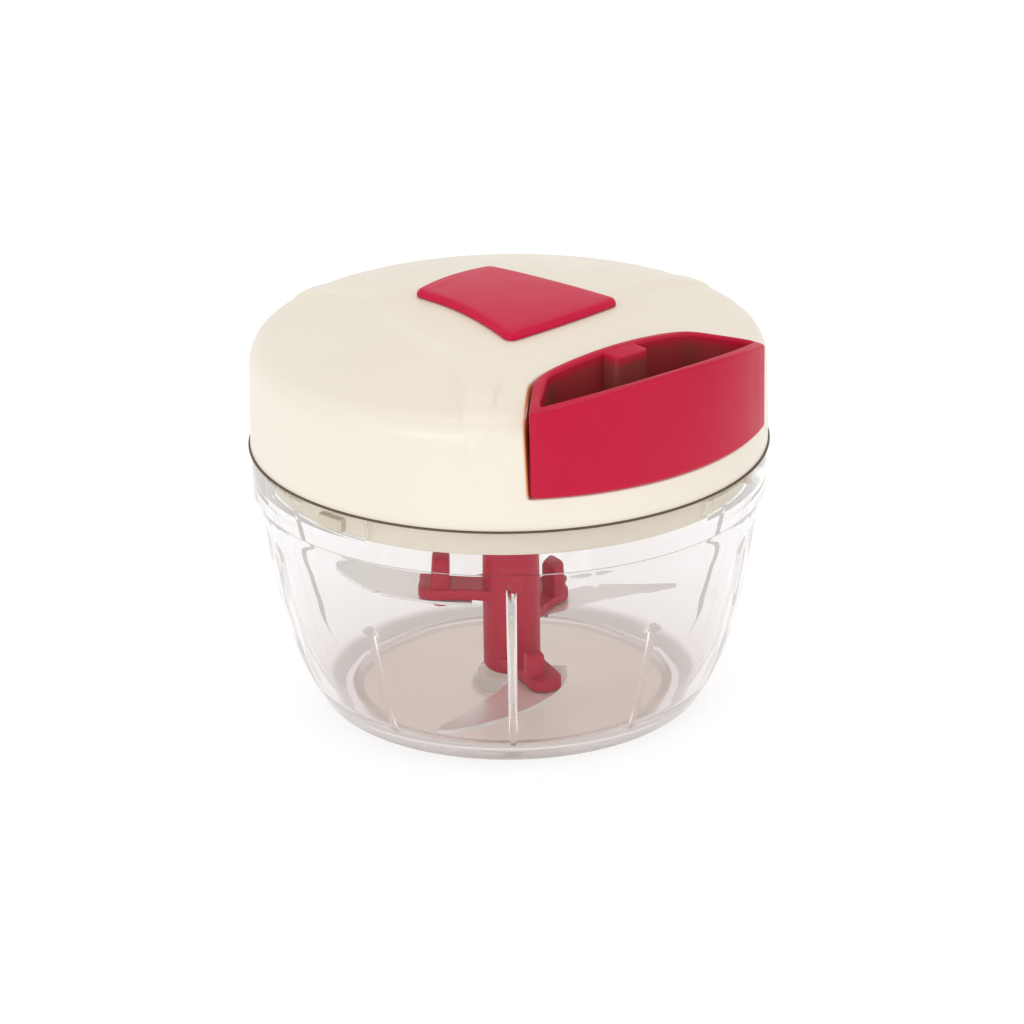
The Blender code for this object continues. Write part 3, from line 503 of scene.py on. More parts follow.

# %% Painted shade inside the handle
tree = CRIMSON.node_tree
u, v, radius, z = in_handle_plan(tree)
back_face = HANDLE_BACK + WALL
wall = from_line(tree, u, v, (back_face + 0.7, HANDLE_HALF - 14.1), 47.3)
# Painted shade: the loop's inner faces turn dark brown further below the top edge.
shade = product(tree, ramp(tree, radius, HANDLE_R - WALL + 0.1, HANDLE_R - WALL - 0.5),
                ramp(tree, u, back_face - 0.4, back_face + 0.2), ramp(tree, wall, 0.4, -0.2),
                ramp(tree, below_arch(tree, v, z), 0.3, 3.6))
shader = tree.nodes["Principled BSDF"]
bright = shader.inputs["Base Color"].links[0].from_socket
tree.links.new(blend(tree, shade, bright, (0.25, 0.05, 0.04)), shader.inputs["Base Color"])
print("brown mask set in", CRIMSON.name)

# %% Painted glow and shade beside the handle
tree = CREAM.node_tree
u, v, radius, z = in_handle_plan(tree)
edge = from_line(tree, u, v, (HANDLE_END - 0.3, HANDLE_HALF + 1.4), 45.5)
lean = calc(tree, 'MULTIPLY', calc(tree, 'SUBTRACT', HANDLE_TOP * MM, z), POCKET_LEAN)
edge = calc(tree, 'ADD', edge, lean)
near_top = product(tree, ramp(tree, radius, 46.0, 50.0),
                   ramp(tree, below_arch(tree, v, z), 3.0, 2.0))
place_mask = product(tree, calc(tree, 'MAXIMUM', ramp(tree, radius, 58.0, 60.0), near_top),
                     ramp(tree, z, HANDLE_BOTTOM - 1.0, HANDLE_BOTTOM + 1.0),
                     ramp(tree, edge, -2.0, -1.0))
# Painted light and shade: an orange glow, lit also by emission, along the cream edge of the gap,
# and a dark brown shade line deeper in.
painted_glow = product(tree, ramp(tree, edge, 1.1, 0.4), place_mask)
painted_gap_shade = product(tree, ramp(tree, edge, 0.5, 0.15), place_mask)
shader = tree.nodes["Principled BSDF"]
plain = shader.inputs["Base Color"].links[0].from_socket
painted_glow_colour = blend(tree, painted_glow, plain, (0.62, 0.27, 0.07))
tree.links.new(blend(tree, painted_gap_shade, painted_glow_colour, (0.22, 0.05, 0.02)), shader.inputs["Base Color"])
painted_glow_light = blend(tree, painted_glow, (0.0, 0.0, 0.0), (0.42, 0.13, 0.02))
tree.links.new(blend(tree, painted_gap_shade, painted_glow_light, (0.1, 0.02, 0.01)), shader.inputs["Emission Color"])
shader.inputs["Emission Strength"].default_value = 0.4
print("glow mask set in", CREAM.name)

# %% [markdown]
# ## Finish: clear plastic
# The bowl is clear, and the eye finds it by its edges: a ray that leaves at a low angle
# crosses more plastic and comes out greyer. Layer Weight gives that low angle, and mixes a
# nearly white tint with a warm grey one. The floor of the bowl is moulded dull, so masks
# from the height and the radius give floor and boss a roughness. The same masks give the
# floor, its raised ring and its boss darker warm tints, which are painted shade: the shadow
# under the bowl, seen through its clear floor. The foot's outer edge gets a darker tint of
# painted shade too. The step under the collar gathers plastic, and gets a darker tint.
# Metallic and Transmission Weight stay plain numbers on the shader.
# A ray caught inside the wall runs round it many times. The picture is made with few
# reflections, so such a ray would end black, while in a white tent it ends white. Light
# Path tells how often it was reflected, and from the fourth time on it is given that white.

# %% Clear plastic masks
CLEAR, tree, shader = material("clear plastic", (0.93, 0.925, 0.925), 0.02, IOR=1.25,
                               Transmission_Weight=1.0, Emission_Strength=0.3)
spot, radius, z = places(tree)
near_floor = ramp(tree, z, 4.5, 3.8)
outer_side = calc(tree, 'SUBTRACT', radius, calc(tree, 'MULTIPLY', z, 0.85))
floor_mask = product(tree, ramp(tree, radius, 40.0, 39.0), near_floor)
painted_foot_shade_mask = product(tree, ramp(tree, outer_side, 41.7, 42.5), ramp(tree, z, 4.2, 1.6))
boss_mask = product(tree, ramp(tree, radius, 10.2, 9.6), ramp(tree, z, 7.5, 6.5))
ring_mask = product(tree, ramp(tree, radius, 36.9, 37.4), ramp(tree, radius, 39.9, 39.5),
                    near_floor)
step_mask = product(tree, ramp(tree, radius, NECK_R + 0.3, NECK_R + 0.5),
                    ramp(tree, z, COLLAR_Z + 0.42, COLLAR_Z + 0.3))
print("the floor's mask ends at 40 mm, the step's starts at", round(NECK_R + 0.3, 2), "mm")

# %% Clear plastic tints and painted shade
haze = noise(tree, spot, 55.0, 3.0)
graze = box(tree, 'ShaderNodeLayerWeight', [("Blend", 0.35)]).outputs["Facing"]
tint = blend(tree, ramp(tree, z, 42.0, 6.0), (0.94, 0.935, 0.935), (0.88, 0.84, 0.835))
tint = blend(tree, calc(tree, 'POWER', graze, 5.0), tint, (0.8, 0.76, 0.74))
tint = blend(tree, step_mask, tint, (0.3, 0.28, 0.27))
# Painted shade: the floor, its ring and its boss are tinted darker for the bowl's shadow seen
# through the clear floor.
painted_floor_shade = blend(tree, haze, (0.8, 0.7, 0.64), (0.75, 0.65, 0.59))
painted_floor_shade = blend(tree, ring_mask, painted_floor_shade, (0.6, 0.51, 0.46))
tint = blend(tree, floor_mask, tint, painted_floor_shade)
# Painted shade: the foot's outer edge is tinted darker for the shadow seen through it.
tint = blend(tree, painted_foot_shade_mask, tint, (0.46, 0.4, 0.37))
tint = blend(tree, boss_mask, tint, (0.55, 0.46, 0.41))
dull = remap(tree, calc(tree, 'MAXIMUM', floor_mask, boss_mask), low=0.015, high=0.2)
rebounds = box(tree, 'ShaderNodeLightPath').outputs["Glossy Depth"]
caught = product(tree, calc(tree, 'GREATER_THAN', rebounds, 3.5),
                 calc(tree, 'SUBTRACT', 1.0, boss_mask))
tree.links.new(blend(tree, caught, (0.0, 0.0, 0.0), (1.0, 0.96, 0.93)),
               shader.inputs["Emission Color"])
tree.links.new(tint, shader.inputs["Base Color"])
tree.links.new(dull, shader.inputs["Roughness"])
print(CLEAR.name, "has", len(tree.nodes), "nodes")

# %% [markdown]
# ## Finish: steel
# Sheet steel keeps the lines of the rollers, so its noise is stretched in one direction
# before it reaches the roughness and the bump. A blade in a white tent mirrors mostly
# white, and reads paler than any grey. That white is painted reflection here: the blade is
# set only partly metallic, with a near-white colour on its diffuse part.

# %% Steel
brushed, entry, leave = group(
    "rolled lines", 'ShaderNodeTree',
    [("Colour", 'NodeSocketColor', (0.7, 0.7, 0.7, 1.0)), ("Roughness", 'NodeSocketFloat', 0.2),
     ("Stretch", 'NodeSocketVector', (60.0, 1600.0, 400.0))], SKIN_OUTPUTS)
spot = box(brushed, 'ShaderNodeTexCoord').outputs["Object"]
drawn = box(brushed, 'ShaderNodeMapping', [("Vector", spot), ("Scale", entry.outputs["Stretch"])])
lines = noise(brushed, drawn.outputs[0], 1.0, 3.0)
shade = remap(brushed, lines, 0.3, 0.7, 0.9, 1.04)
toned = box(brushed, 'ShaderNodeVectorMath', [(0, entry.outputs["Colour"]), ("Scale", shade)],
            operation='SCALE')
spread = remap(brushed, lines, low=-0.05, high=0.09)
brushed.links.new(toned.outputs[0], leave.inputs["Colour"])
brushed.links.new(calc(brushed, 'ADD', entry.outputs["Roughness"], spread),
                  leave.inputs["Roughness"])
brushed.links.new(lines, leave.inputs["Height"])


def steel(name, colour, roughness, stretch, metallic=1.0, bump=0.08):
    """A rolled or turned steel. Its lines run along the axis that is stretched least."""
    made, tree, shader = material(name, colour, roughness, metallic)
    surface = box(tree, 'ShaderNodeGroup', [("Colour", (*colour, 1.0)), ("Roughness", roughness),
                                            ("Stretch", stretch)], node_tree=brushed)
    wire_surface(tree, shader, surface, bump, 0.0001)
    return made


# Painted reflection: a near-white colour and only 0.4 metallic, so the blade reads white.
BLADE = steel("blade steel", (0.97, 0.955, 0.94), 0.22, (260.0, 9000.0, 900.0), 0.4, 0.01)
BRIGHT = steel("bright steel", (0.62, 0.62, 0.63), 0.26, (300.0, 300.0, 2500.0))
SPRING = steel("spring steel", (0.33, 0.34, 0.38), 0.3, (300.0, 300.0, 2200.0))
print("steels share the group", brushed.name)

# %% [markdown]
# ## Finish: cord
# A cord shows its braid, two sets of strands that cross. Two waves that lean against each
# other on the cord's UV map make them, and the higher one gives the colour and the bump.

# %% Cord
CORD, tree, shader = material("braided cord", (0.8, 0.78, 0.73), 0.8)
uv = box(tree, 'ShaderNodeTexCoord').outputs["UV"]
strands = []
for turn in (0.72, -0.72):
    laid = box(tree, 'ShaderNodeMapping', [("Vector", uv), ("Rotation", (0.0, 0.0, turn))])
    strands.append(box(tree, 'ShaderNodeTexWave', [("Vector", laid.outputs[0]),
                                                   ("Scale", 1.6)]).outputs["Fac"])
braid = calc(tree, 'MAXIMUM', *strands)
relief = box(tree, 'ShaderNodeBump', [("Strength", 0.5), ("Distance", 0.0002), ("Height", braid)])
tree.links.new(blend(tree, braid, (0.52, 0.5, 0.46), (0.84, 0.82, 0.77)),
               shader.inputs["Base Color"])
tree.links.new(relief.outputs[0], shader.inputs["Normal"])
print(CORD.name, "has", len(strands), "sets of strands")

# %% [markdown]
# ## Bowl: the turned wall
# The bowl is moulded in one piece: a flat foot, a wall that opens like a tumbler, a thicker
# collar and, inside, a ring and a boss on the floor. It could be a curve with a Screw
# modifier. Here the wall is a list of columns, because the ribs need many columns close
# together and the smooth stretches between them need few.

# %% Bowl profile
OUTSIDE = ((BASE_R, 0.0), (43.6, 0.6), (46.2, 2.3), (48.3, 5.4), (51.0, 10.4), (53.6, 17.4),
           (56.0, 26.0), (58.3, 37.0), (59.8, 47.5), (NECK_R, COLLAR_Z))
INSIDE = ((58.9, 54.5), (58.2, 51.6), (57.2, 45.5), (56.2, 39.0), (55.1, 33.0), (53.7, 26.8),
          (52.1, 20.5), (50.2, 15.0), (48.2, 10.4), (46.8, 7.8), (44.6, 5.2), (41.6, 3.5),
          (39.8, FLOOR_Z))
RING = ((39.5, 3.04), (39.2, 3.3), (38.9, 3.5), (38.4, 3.58), (37.9, 3.5), (37.6, 3.3),
        (37.3, 3.04), (37.0, FLOOR_Z))
BOSS = ((30.0, FLOOR_Z), (20.0, FLOOR_Z), (9.4, FLOOR_Z), (8.9, 3.08), (8.6, 3.3), (8.4, 5.4),
        (8.2, 5.8), (7.8, 6.0), (2.2, 6.0), (1.9, 5.8), (1.8, 5.5), (1.8, 3.3), (0.0, 3.3))


def arc(centre, radius, start, end, steps):
    """Points of a round corner in a (radius, height) profile; angles in degrees."""
    points = []
    for i in range(steps + 1):
        a = math.radians(start + (end - start) * i / steps)
        points.append((centre[0] + radius * math.cos(a), centre[1] + radius * math.sin(a)))
    return points


outer = [(0.0, 0.0), (20.0, 0.0), (38.0, 0.0)] + [tuple(p) for p in smooth_line(OUTSIDE, 7)]
outer += arc((COLLAR_R - 0.4, COLLAR_Z + 0.4), 0.4, -90.0, 0.0, 4)
outer += arc((COLLAR_R - 0.2, BOWL_TOP - 0.2), 0.2, 0.0, 90.0, 4)
inner = arc((COLLAR_IN_R + 0.35, BOWL_TOP - 0.35), 0.35, 90.0, 180.0, 4)
inner += [tuple(p) for p in smooth_line(INSIDE, 8)] + list(RING + BOSS)
print("bowl profile:", len(outer), "points outside and", len(inner), "inside")

# %% Bowl columns
RIB_SIZES = {"Middle angle": 36.0, "Side angle": 72.0, "Rib depth": 1.5 * MM, "Half width": 1.2,
             "Foot": 6.0 * MM, "Front top": 54.0 * MM, "Middle top": 36.0 * MM,
             "Side top": 46.5 * MM}
RIB_HALF = RIB_SIZES["Half width"]
rib_angles = [0.0, RIB_SIZES["Middle angle"], RIB_SIZES["Side angle"]]
rib_angles += [180.0 - angle for angle in rib_angles[:0:-1]]
rib_angles += [180.0 + angle for angle in rib_angles]
angles = []
for rib, following in zip(rib_angles, rib_angles[1:] + [360.0]):
    angles += [rib + RIB_HALF * (k / 6.0) for k in range(-6, 7)]
    gap = following - rib - 2.0 * RIB_HALF
    count = int(gap / 2.4) + 1
    angles += [rib + RIB_HALF + gap * k / count for k in range(1, count)]

bm = bmesh.new()
inner_flag = bm.verts.layers.float.new("inner")
columns = skin(bm, [[polar(r, angle, z) for r, z in outer + inner] for angle in angles],
               around=False)
for column in columns:
    for vert in column[len(outer):]:
        vert[inner_flag] = 1.0
bowl = mesh_object(bm, "bowl_shell", CLEAR)
print("bowl wall:", len(angles), "columns of", len(outer + inner), "points")

# %% [markdown]
# ## Bowl: the ribs
# Ten leaf-shaped ribs stand on the inside of the wall: one at the front and one at the
# back, four short ones beside them and four longer ones at the sides. Left mirrors right
# and back mirrors front, so an angle is folded into a quarter turn first. They repeat and
# follow the wall, which is work for Geometry Nodes: one tree moves the inner points
# towards the axis by a height that depends on the folded angle and on how far up the leaf
# the point is. Its inputs name the angles, the depth and the heights of the tops.

# %% Ribs as a Geometry Nodes tree
ribs, entry, leave = group(
    "bowl ribs", 'GeometryNodeTree',
    [("Geometry", 'NodeSocketGeometry', None)]
    + [(label, 'NodeSocketFloat', size) for label, size in RIB_SIZES.items()]
    + [("Material", 'NodeSocketMaterial', None)], [("Geometry", 'NodeSocketGeometry')])
spot = box(ribs, 'GeometryNodeInputPosition').outputs[0]
parts = box(ribs, 'ShaderNodeSeparateXYZ', [(0, spot)]).outputs
turn = calc(ribs, 'ARCTAN2', calc(ribs, 'ABSOLUTE', parts[0]), calc(ribs, 'ABSOLUTE', parts[1]))
turn = calc(ribs, 'DEGREES', turn)
to_middle = calc(ribs, 'ABSOLUTE', calc(ribs, 'SUBTRACT', turn, entry.outputs["Middle angle"]))
to_side = calc(ribs, 'ABSOLUTE', calc(ribs, 'SUBTRACT', turn, entry.outputs["Side angle"]))
off = calc(ribs, 'MINIMUM', turn, calc(ribs, 'MINIMUM', to_middle, to_side))
off = calc(ribs, 'DIVIDE', off, entry.outputs["Half width"])
across = calc(ribs, 'POWER', calc(ribs, 'MAXIMUM', calc(ribs, 'SUBTRACT', 1.0, off), 0.0), 0.7)
top = remap(ribs, calc(ribs, 'LESS_THAN', to_side, to_middle),
            low=entry.outputs["Middle top"], high=entry.outputs["Side top"])
top = remap(ribs, calc(ribs, 'LESS_THAN', turn, to_middle),
            low=top, high=entry.outputs["Front top"])
along = remap(ribs, parts[2], entry.outputs["Foot"], top)
leaf = calc(ribs, 'SINE', calc(ribs, 'MULTIPLY', along, math.pi))
leaf = calc(ribs, 'POWER', calc(ribs, 'MAXIMUM', leaf, 0.0), 0.6)
flag = box(ribs, 'GeometryNodeInputNamedAttribute', [("Name", "inner")],
           data_type='FLOAT').outputs["Attribute"]
rise = product(ribs, across, leaf, flag, entry.outputs["Rib depth"])
inward = box(ribs, 'ShaderNodeVectorMath', [(0, spot), (1, (-1.0, -1.0, 0.0))],
             operation='MULTIPLY')
inward = box(ribs, 'ShaderNodeVectorMath', [(0, inward.outputs[0])], operation='NORMALIZE')
shift = box(ribs, 'ShaderNodeVectorMath', [(0, inward.outputs[0]), ("Scale", rise)],
            operation='SCALE')
moved = box(ribs, 'GeometryNodeSetPosition', [("Geometry", entry.outputs["Geometry"]),
                                              ("Offset", shift.outputs[0])])
finish_tree(ribs, entry, leave, moved.outputs[0])
run_nodes(bowl, ribs, {**RIB_SIZES, "Material": CLEAR})
print("ribs:", len(rib_angles), "of", RIB_SIZES["Rib depth"] / MM, "mm depth")

# %% [markdown]
# ## Bowl: the bayonet slots
# The lid locks by a turn of 22 degrees: lugs on its skirt drop into three open slots in
# the collar and slide into a groove beside them. Slots and grooves are cut with Booleans,
# since they cross the collar's inner wall at any angle.

# %% Bayonet slots
LUG_R = COLLAR_IN_R + 1.3
LUG_LOW = DECK_Z - 6.9
LUG_HIGH = LUG_LOW + 3.7
ENTRY_HALF = 9.7
GROOVE_END = 27.4


def sector(r0, r1, a0, a1, low, high, steps=12, soft=0.0):
    """A block between two radii, two plan angles and two heights."""
    points = [polar(r1, a0 + (a1 - a0) * i / steps, 0.0) for i in range(steps + 1)]
    points += [polar(r0, a1 + (a0 - a1) * i / steps, 0.0) for i in range(steps + 1)]
    return block(points, low, high, soft)


for lug in LUG_ANGLES:
    carve(bowl, sector(COLLAR_IN_R - 1.9, LUG_R + 0.5, lug - ENTRY_HALF, lug + ENTRY_HALF,
                       LUG_LOW - 0.5, BOWL_TOP + 1.0))
    carve(bowl, sector(COLLAR_IN_R - 1.6, LUG_R + 0.45, lug - GROOVE_END,
                       lug - ENTRY_HALF + 1.0, LUG_LOW - 0.45, LUG_HIGH + 0.45))
bowl.data.materials.clear()
bowl.data.materials.append(CLEAR)
place(bowl, "bowl_group", "bowl_clear", "bowl")

# %% [markdown]
# ## Lid: a dome with three lobes
# The cover is a shallow dome with an upright wall. Three narrow ridges run down it, and
# the fields between them are scooped 1.5 mm deep behind a curved crease, except round the
# handle. The shoulder falls a little all round. Sculpting would do it, but a rule is easier
# to correct: one function gives the dome's height, one the depth of the scoop at a radius
# and an angle, and the columns read both.

# %% Cover rule
CREASE_FAR = 0.384    # radius of the crease far from a ridge, as a share of LID_R
CREASE_RISE = 0.944
CREASE_SLOPE = 0.66
CREASE_SOFT = 2.6
HANDLE_CLEAR = 34.0    # no lobe within these degrees of the handle's middle
HANDLE_FADE = 13.0
SHOULDER_R = 49.0
SHOULDER_WIDE = 9.0
SHOULDER_FALL = 0.55 * LOBE_DEPTH
RIDGE_OUT = 0.5


def ridge_distance(angle):
    """Degrees to the nearest ridge."""
    return min(abs((angle - ridge + 180.0) % 360.0 - 180.0) for ridge in RIDGE_ANGLES)


def dome(r):
    return RIM_Z + DOME_RISE - (DOME_RISE - DOME_EDGE) * (r / LID_R) ** 2


def scoop(r, angle):
    """Depth below the dome: lobes beyond the crease, and a shallow fall all round."""
    off = max(ridge_distance(angle), 0.05)
    crease = (CREASE_FAR + CREASE_RISE / off ** 0.7) * LID_R
    slant = CREASE_SLOPE * LID_R * off ** -1.7 / math.radians(max(r, 5.0))
    swing = (angle - HANDLE_ANGLE + 180.0) % 360.0 - 180.0
    fade = smoothstep((abs(swing) - HANDLE_CLEAR) / HANDLE_FADE)
    lobe = LOBE_DEPTH * fade * smoothstep((r - crease) / math.hypot(1.0, slant) / CREASE_SOFT)
    return max(lobe, SHOULDER_FALL * smoothstep((r - SHOULDER_R) / SHOULDER_WIDE))


def ridge_on_wall(angle, z):
    """How far the ridges stand out of the side wall."""
    off = ridge_distance(angle)
    rise = (z - RIM_Z) / DOME_EDGE
    return RIDGE_OUT * smoothstep((2.4 - off) / 2.0) * smoothstep((rise - 0.44) / 0.26)


def cover_column(angle):
    """Outer (radius, height) points of the cover at a plan angle, from wall to crown."""
    points = arc((LID_R - 0.2, COVER_BOTTOM + 0.2), 0.2, -90.0, 0.0, 3)
    wall = [(0.1, 0.0), (0.185, 0.0), (0.28, 0.05), (0.37, 0.1), (0.44, 0.15), (0.5, 0.2),
            (0.57, 0.22), (0.63, 0.25), (0.69, 0.28), (0.74, 0.3)]
    for rise, inward in wall:
        z = RIM_Z + rise * DOME_EDGE
        points.append((LID_R - inward + ridge_on_wall(angle, z), z))
    lift = LOBE_DEPTH - scoop(LID_R - 1.5, angle)
    edge = RIM_Z + DOME_EDGE
    turn = [points[-1], (LID_R - 0.6 + 0.15 * lift, edge - 4.5 + 0.3 * lift),
            (LID_R - 1.6 + 0.2 * lift, edge - 2.4 + 0.5 * lift),
            (LID_R - 3.3 + 0.1 * lift, edge - 0.9 + 0.8 * lift),
            (56.6, dome(56.6) - scoop(56.6, angle)), (53.0, dome(53.0) - scoop(53.0, angle))]
    points += [tuple(p) for p in smooth_line(turn, 4)[1:-4]]
    r = 55.6
    while r > 0.5:
        points.append((r, dome(r) - scoop(r, angle)))
        r -= 0.95 if r > 25.0 else 2.4
    return points + [(0.0, dome(0.0))]


print("dome from", round(dome(LID_R), 1), "mm at its edge to", round(dome(0.0), 1), "mm")

# %% Cover columns
RIDGE_OFFS = (0.0, 0.5, 1.0, 1.5, 2.0, 2.5, 3.1, 3.8, 4.6, 5.5, 6.5, 7.6, 8.8, 10.2, 11.6, 13.0)
angles = []
stops = sorted(ridge % 360.0 for ridge in RIDGE_ANGLES)
for here, there in zip(stops, stops[1:] + [stops[0] + 360.0]):
    field = there - here - 2.0 * RIDGE_OFFS[-1]
    count = int(field / 1.6)
    angles += [here + off for off in RIDGE_OFFS]
    angles += [here + RIDGE_OFFS[-1] + field * k / count for k in range(1, count)]
    angles += [there - off for off in RIDGE_OFFS[:0:-1]]
bm = bmesh.new()
rings = []
for angle in angles:
    rings.append([Vector((0.0, 0.0, COVER_BOTTOM * MM))]
                 + [polar(r, angle, z) for r, z in cover_column(angle)])
skin(bm, rings, around=False)
cover = mesh_object(bm, "lid_shell", CREAM)
print("cover:", len(angles), "columns")

# %% [markdown]
# ## Lid: the handle's recess
# A pocket in the side of the cover takes the handle. Its floor and walls are cut with one
# upright tool over a plan curve: the straight back, and both sides as far as the outside.
# The sides lean in a little towards the floor, as moulded walls do.

# %% Recess
def pocket_at(z, offset=0.0):
    """The recess's plan curve (u, v) at a height, or a curve outside it by an offset."""
    side = 0.7 * (offset - POCKET_LEAN * (HANDLE_TOP - z))
    back = HANDLE_BACK - 0.6 - offset
    b, e, h = HANDLE_BACK, HANDLE_END, HANDLE_HALF + side
    half = [(back, 0.0), (back, 9.0), (back, h - 18.7), (back, h - 15.1),
            (b + 0.9 - 0.85 * offset, h - 10.9), (b + 3.4 - side, h - 7.9),
            (b + 7.2 - side, h - 4.1), (e - 0.3 - side, h + 1.7), (e + 5.9 - side, h + 8.1),
            (e + 12.1 - side, h + 14.5)]
    line = [tuple(p) for p in smooth_line(half, 4)]
    return [(u, -v) for u, v in line[:0:-1]] + line


def pocket_tool(offset, low, high):
    """The upright tool that cuts the recess, or its outside when offset is the wall."""
    rings = []
    for z in (low, high):
        line = pocket_at(z, offset)
        line += [(line[-1][0] + 12.0, line[-1][1]), (line[0][0] + 12.0, line[0][1])]
        rings.append([plan(u, v, z) for u, v in line])
    return capped(rings)


POCKET_FLOOR = HANDLE_BOTTOM - 0.4
ABOVE = RIM_Z + DOME_RISE + 20.0
carve(cover, pocket_tool(0.0, POCKET_FLOOR, ABOVE))
print("recess cut down to", round(POCKET_FLOOR, 2), "mm")

# %% [markdown]
# A moulded edge is never sharp, so a second tool runs along the seam where the pocket
# breaks through the outside. It is a bar whose inner side is a quarter round: cutting it
# away leaves the edge with a radius of 0.7 mm, and the floor's front lip with 0.6 mm. Each
# station of a seam holds its point and two normals, the outside's and the pocket wall's.

# %% Stations along the seam
UP = Vector((0.0, 0.0, 1.0))
SEAM_ANGLE = 36.5    # plan angle from the handle's middle to the recess's ends
SIDE_SEAM_R = 57.5
TOP_SEAM_R = 57.0


def outside_at(u, v):
    """Height and outward normal of the cover's outside over a plan point."""
    r = math.hypot(u, v)
    angle = HANDLE_ANGLE + math.degrees(math.atan2(v, u))
    column = cover_column(angle)
    for (r1, z1), (r0, z0) in zip(column[8:], column[9:]):
        if r0 <= r <= r1:
            z = z0 + (z1 - z0) * (r - r0) / max(r1 - r0, 1e-6)
            tilt = Vector((z0 - z1, r1 - r0)).normalized()
            tilt = -tilt if tilt.y < 0.0 else tilt
            return z, (direction(angle) * tilt.x + UP * tilt.y).normalized()
    return None


def seam_side(sign):
    """Seam stations up the outside wall at one end of the recess."""
    seam = []
    column = [p for p in cover_column(HANDLE_ANGLE + sign * SEAM_ANGLE)
              if p[0] > SIDE_SEAM_R and p[1] > POCKET_FLOOR]
    column = [(column[0][0], POCKET_FLOOR + 0.02)] + column
    for k, (r, z) in enumerate(column):
        line = [p for p in pocket_at(z) if p[1] * sign > HANDLE_HALF - 6.0]
        start, end = Vector(line[0]), Vector(line[-1])
        along = (end - start).normalized()
        if along.x < 0.0:
            start, along = end, -along
        wall_normal = Vector((along.y, -along.x)) * sign
        b = start.dot(along)
        p = start + along * (math.sqrt(max(b * b - start.length_squared + r * r, 0.0)) - b)
        r0, z0 = column[max(k - 1, 0)]
        r1, z1 = column[min(k + 1, len(column) - 1)]
        tilt = Vector((z1 - z0, r0 - r1)).normalized()
        normal = (plan(p.x, p.y).normalized() * tilt.x + UP * tilt.y).normalized()
        seam.append((plan(p.x, p.y, z), normal, plan(wall_normal.x, wall_normal.y) / MM))
    return seam


def seam_top():
    """Seam stations across the dome, from one end of the recess to the other."""
    line = pocket_at(HANDLE_TOP - 3.0)
    seam = []
    for k in range(1, len(line) - 1):
        u, v = line[k]
        found = outside_at(u, v) if math.hypot(u, v) < TOP_SEAM_R else None
        if found:
            along = (Vector(line[k + 1]) - Vector(line[k - 1])).normalized()
            seam.append((plan(u, v, found[0]), found[1], plan(along.y, -along.x) / MM))
    return seam


seam = seam_side(-1.0) + seam_top() + seam_side(1.0)[::-1]
print("seam of", len(seam), "stations")

# %% Soften the seam and the lip
EDGE_R = 0.7
LIP_R = 0.6


def quarter_bar(seam, radius):
    """A closed bar along a seam that leaves a quarter round where it is cut away."""
    rings = []
    for point, outer, wall in seam:
        centre = point - (outer + wall) * (radius * MM / (1.0 + outer.dot(wall)))
        ring = []
        for k in range(7):
            a = math.pi / 2 * k / 6.0
            spoke = wall * math.cos(a) + outer * math.sin(a)
            ring.append(centre + spoke.normalized() * radius * MM)
        ring += [ring[-1] + outer * 0.5 * MM, point + (outer + wall) * 0.6 * MM,
                 ring[0] + wall * 0.5 * MM]
        rings.append(ring)
    return capped(rings)


def lip_end(point):
    """How well a plan point marks the floor's end: on the outside, and on the left."""
    return 0.001 * point[1] - abs(math.hypot(*point) - LID_R)


carve(cover, quarter_bar(seam, EDGE_R))
u, v = max(pocket_at(POCKET_FLOOR), key=lip_end)
lip_half = math.degrees(math.atan2(v, u)) - 0.4
lip = []
for k in range(41):
    angle = HANDLE_ANGLE + lip_half * (k / 20.0 - 1.0)
    lip.append((polar(LID_R, angle, POCKET_FLOOR), direction(angle), UP))
carve(cover, quarter_bar(lip, LIP_R))
print("lip rounded over", round(2.0 * lip_half, 1), "degrees")

# %% [markdown]
# ## Lid: the hollow and the screw posts
# The cover is a shell with 2 mm walls. The hollow is one turned tool with the recess's
# walls and four screw posts kept out of it, cut from the cover in one go, and the posts
# and the cord's hole are drilled afterwards.

# %% Hollow
SCREW_R = 0.8 * LID_R
SCREW_ANGLES = (-30.0, -100.0, -165.0, 120.0)
SCREW_HOLE_R = 1.6
SCREW_POST_R = 4.0
CORD_HOLE_R = 2.9
COVER_WALL = 2.0


def ceiling(r):
    return dome(r) - 2.5 - LOBE_DEPTH * smoothstep((r / LID_R - 0.2) / 0.2)


def round_block(centre, radius, low, high, steps=32):
    """An upright cylinder at a plan point in metres."""
    points = []
    for i in range(steps):
        a = math.tau * i / steps
        points.append(centre + Vector((math.cos(a), math.sin(a), 0.0)) * radius * MM)
    return block(points, low, high)


inside_r = LID_R - COVER_WALL
edge = RIM_Z + DOME_EDGE
hollow = [(0.0, RIM_Z - 3.0), (inside_r, RIM_Z - 3.0), (inside_r, edge - 13.7),
          (inside_r - 0.3, edge - 7.3), (inside_r - 1.9, edge - 4.3), (inside_r - 4.5, edge - 2.7)]
hollow += [(r, ceiling(r)) for r in (48.0, 43.0, 38.0, 32.0, 26.0, 19.0, 12.0, 6.0, 0.0)]
tool = mesh_object(turned(hollow, 96), "hollow")
carve(tool, pocket_tool(COVER_WALL, POCKET_FLOOR - COVER_WALL, ABOVE + 1.0))
for angle in SCREW_ANGLES:
    carve(tool, round_block(polar(SCREW_R, angle, 0.0), SCREW_POST_R, COVER_BOTTOM + 2.3, ABOVE))
bm = bmesh.new()
bm.from_mesh(tool.data)
bpy.data.objects.remove(tool, do_unlink=True)
carve(cover, bm)
for angle in SCREW_ANGLES:
    carve(cover, round_block(polar(SCREW_R, angle, 0.0), SCREW_HOLE_R, COVER_BOTTOM,
                             COVER_BOTTOM + 13.6, 16))


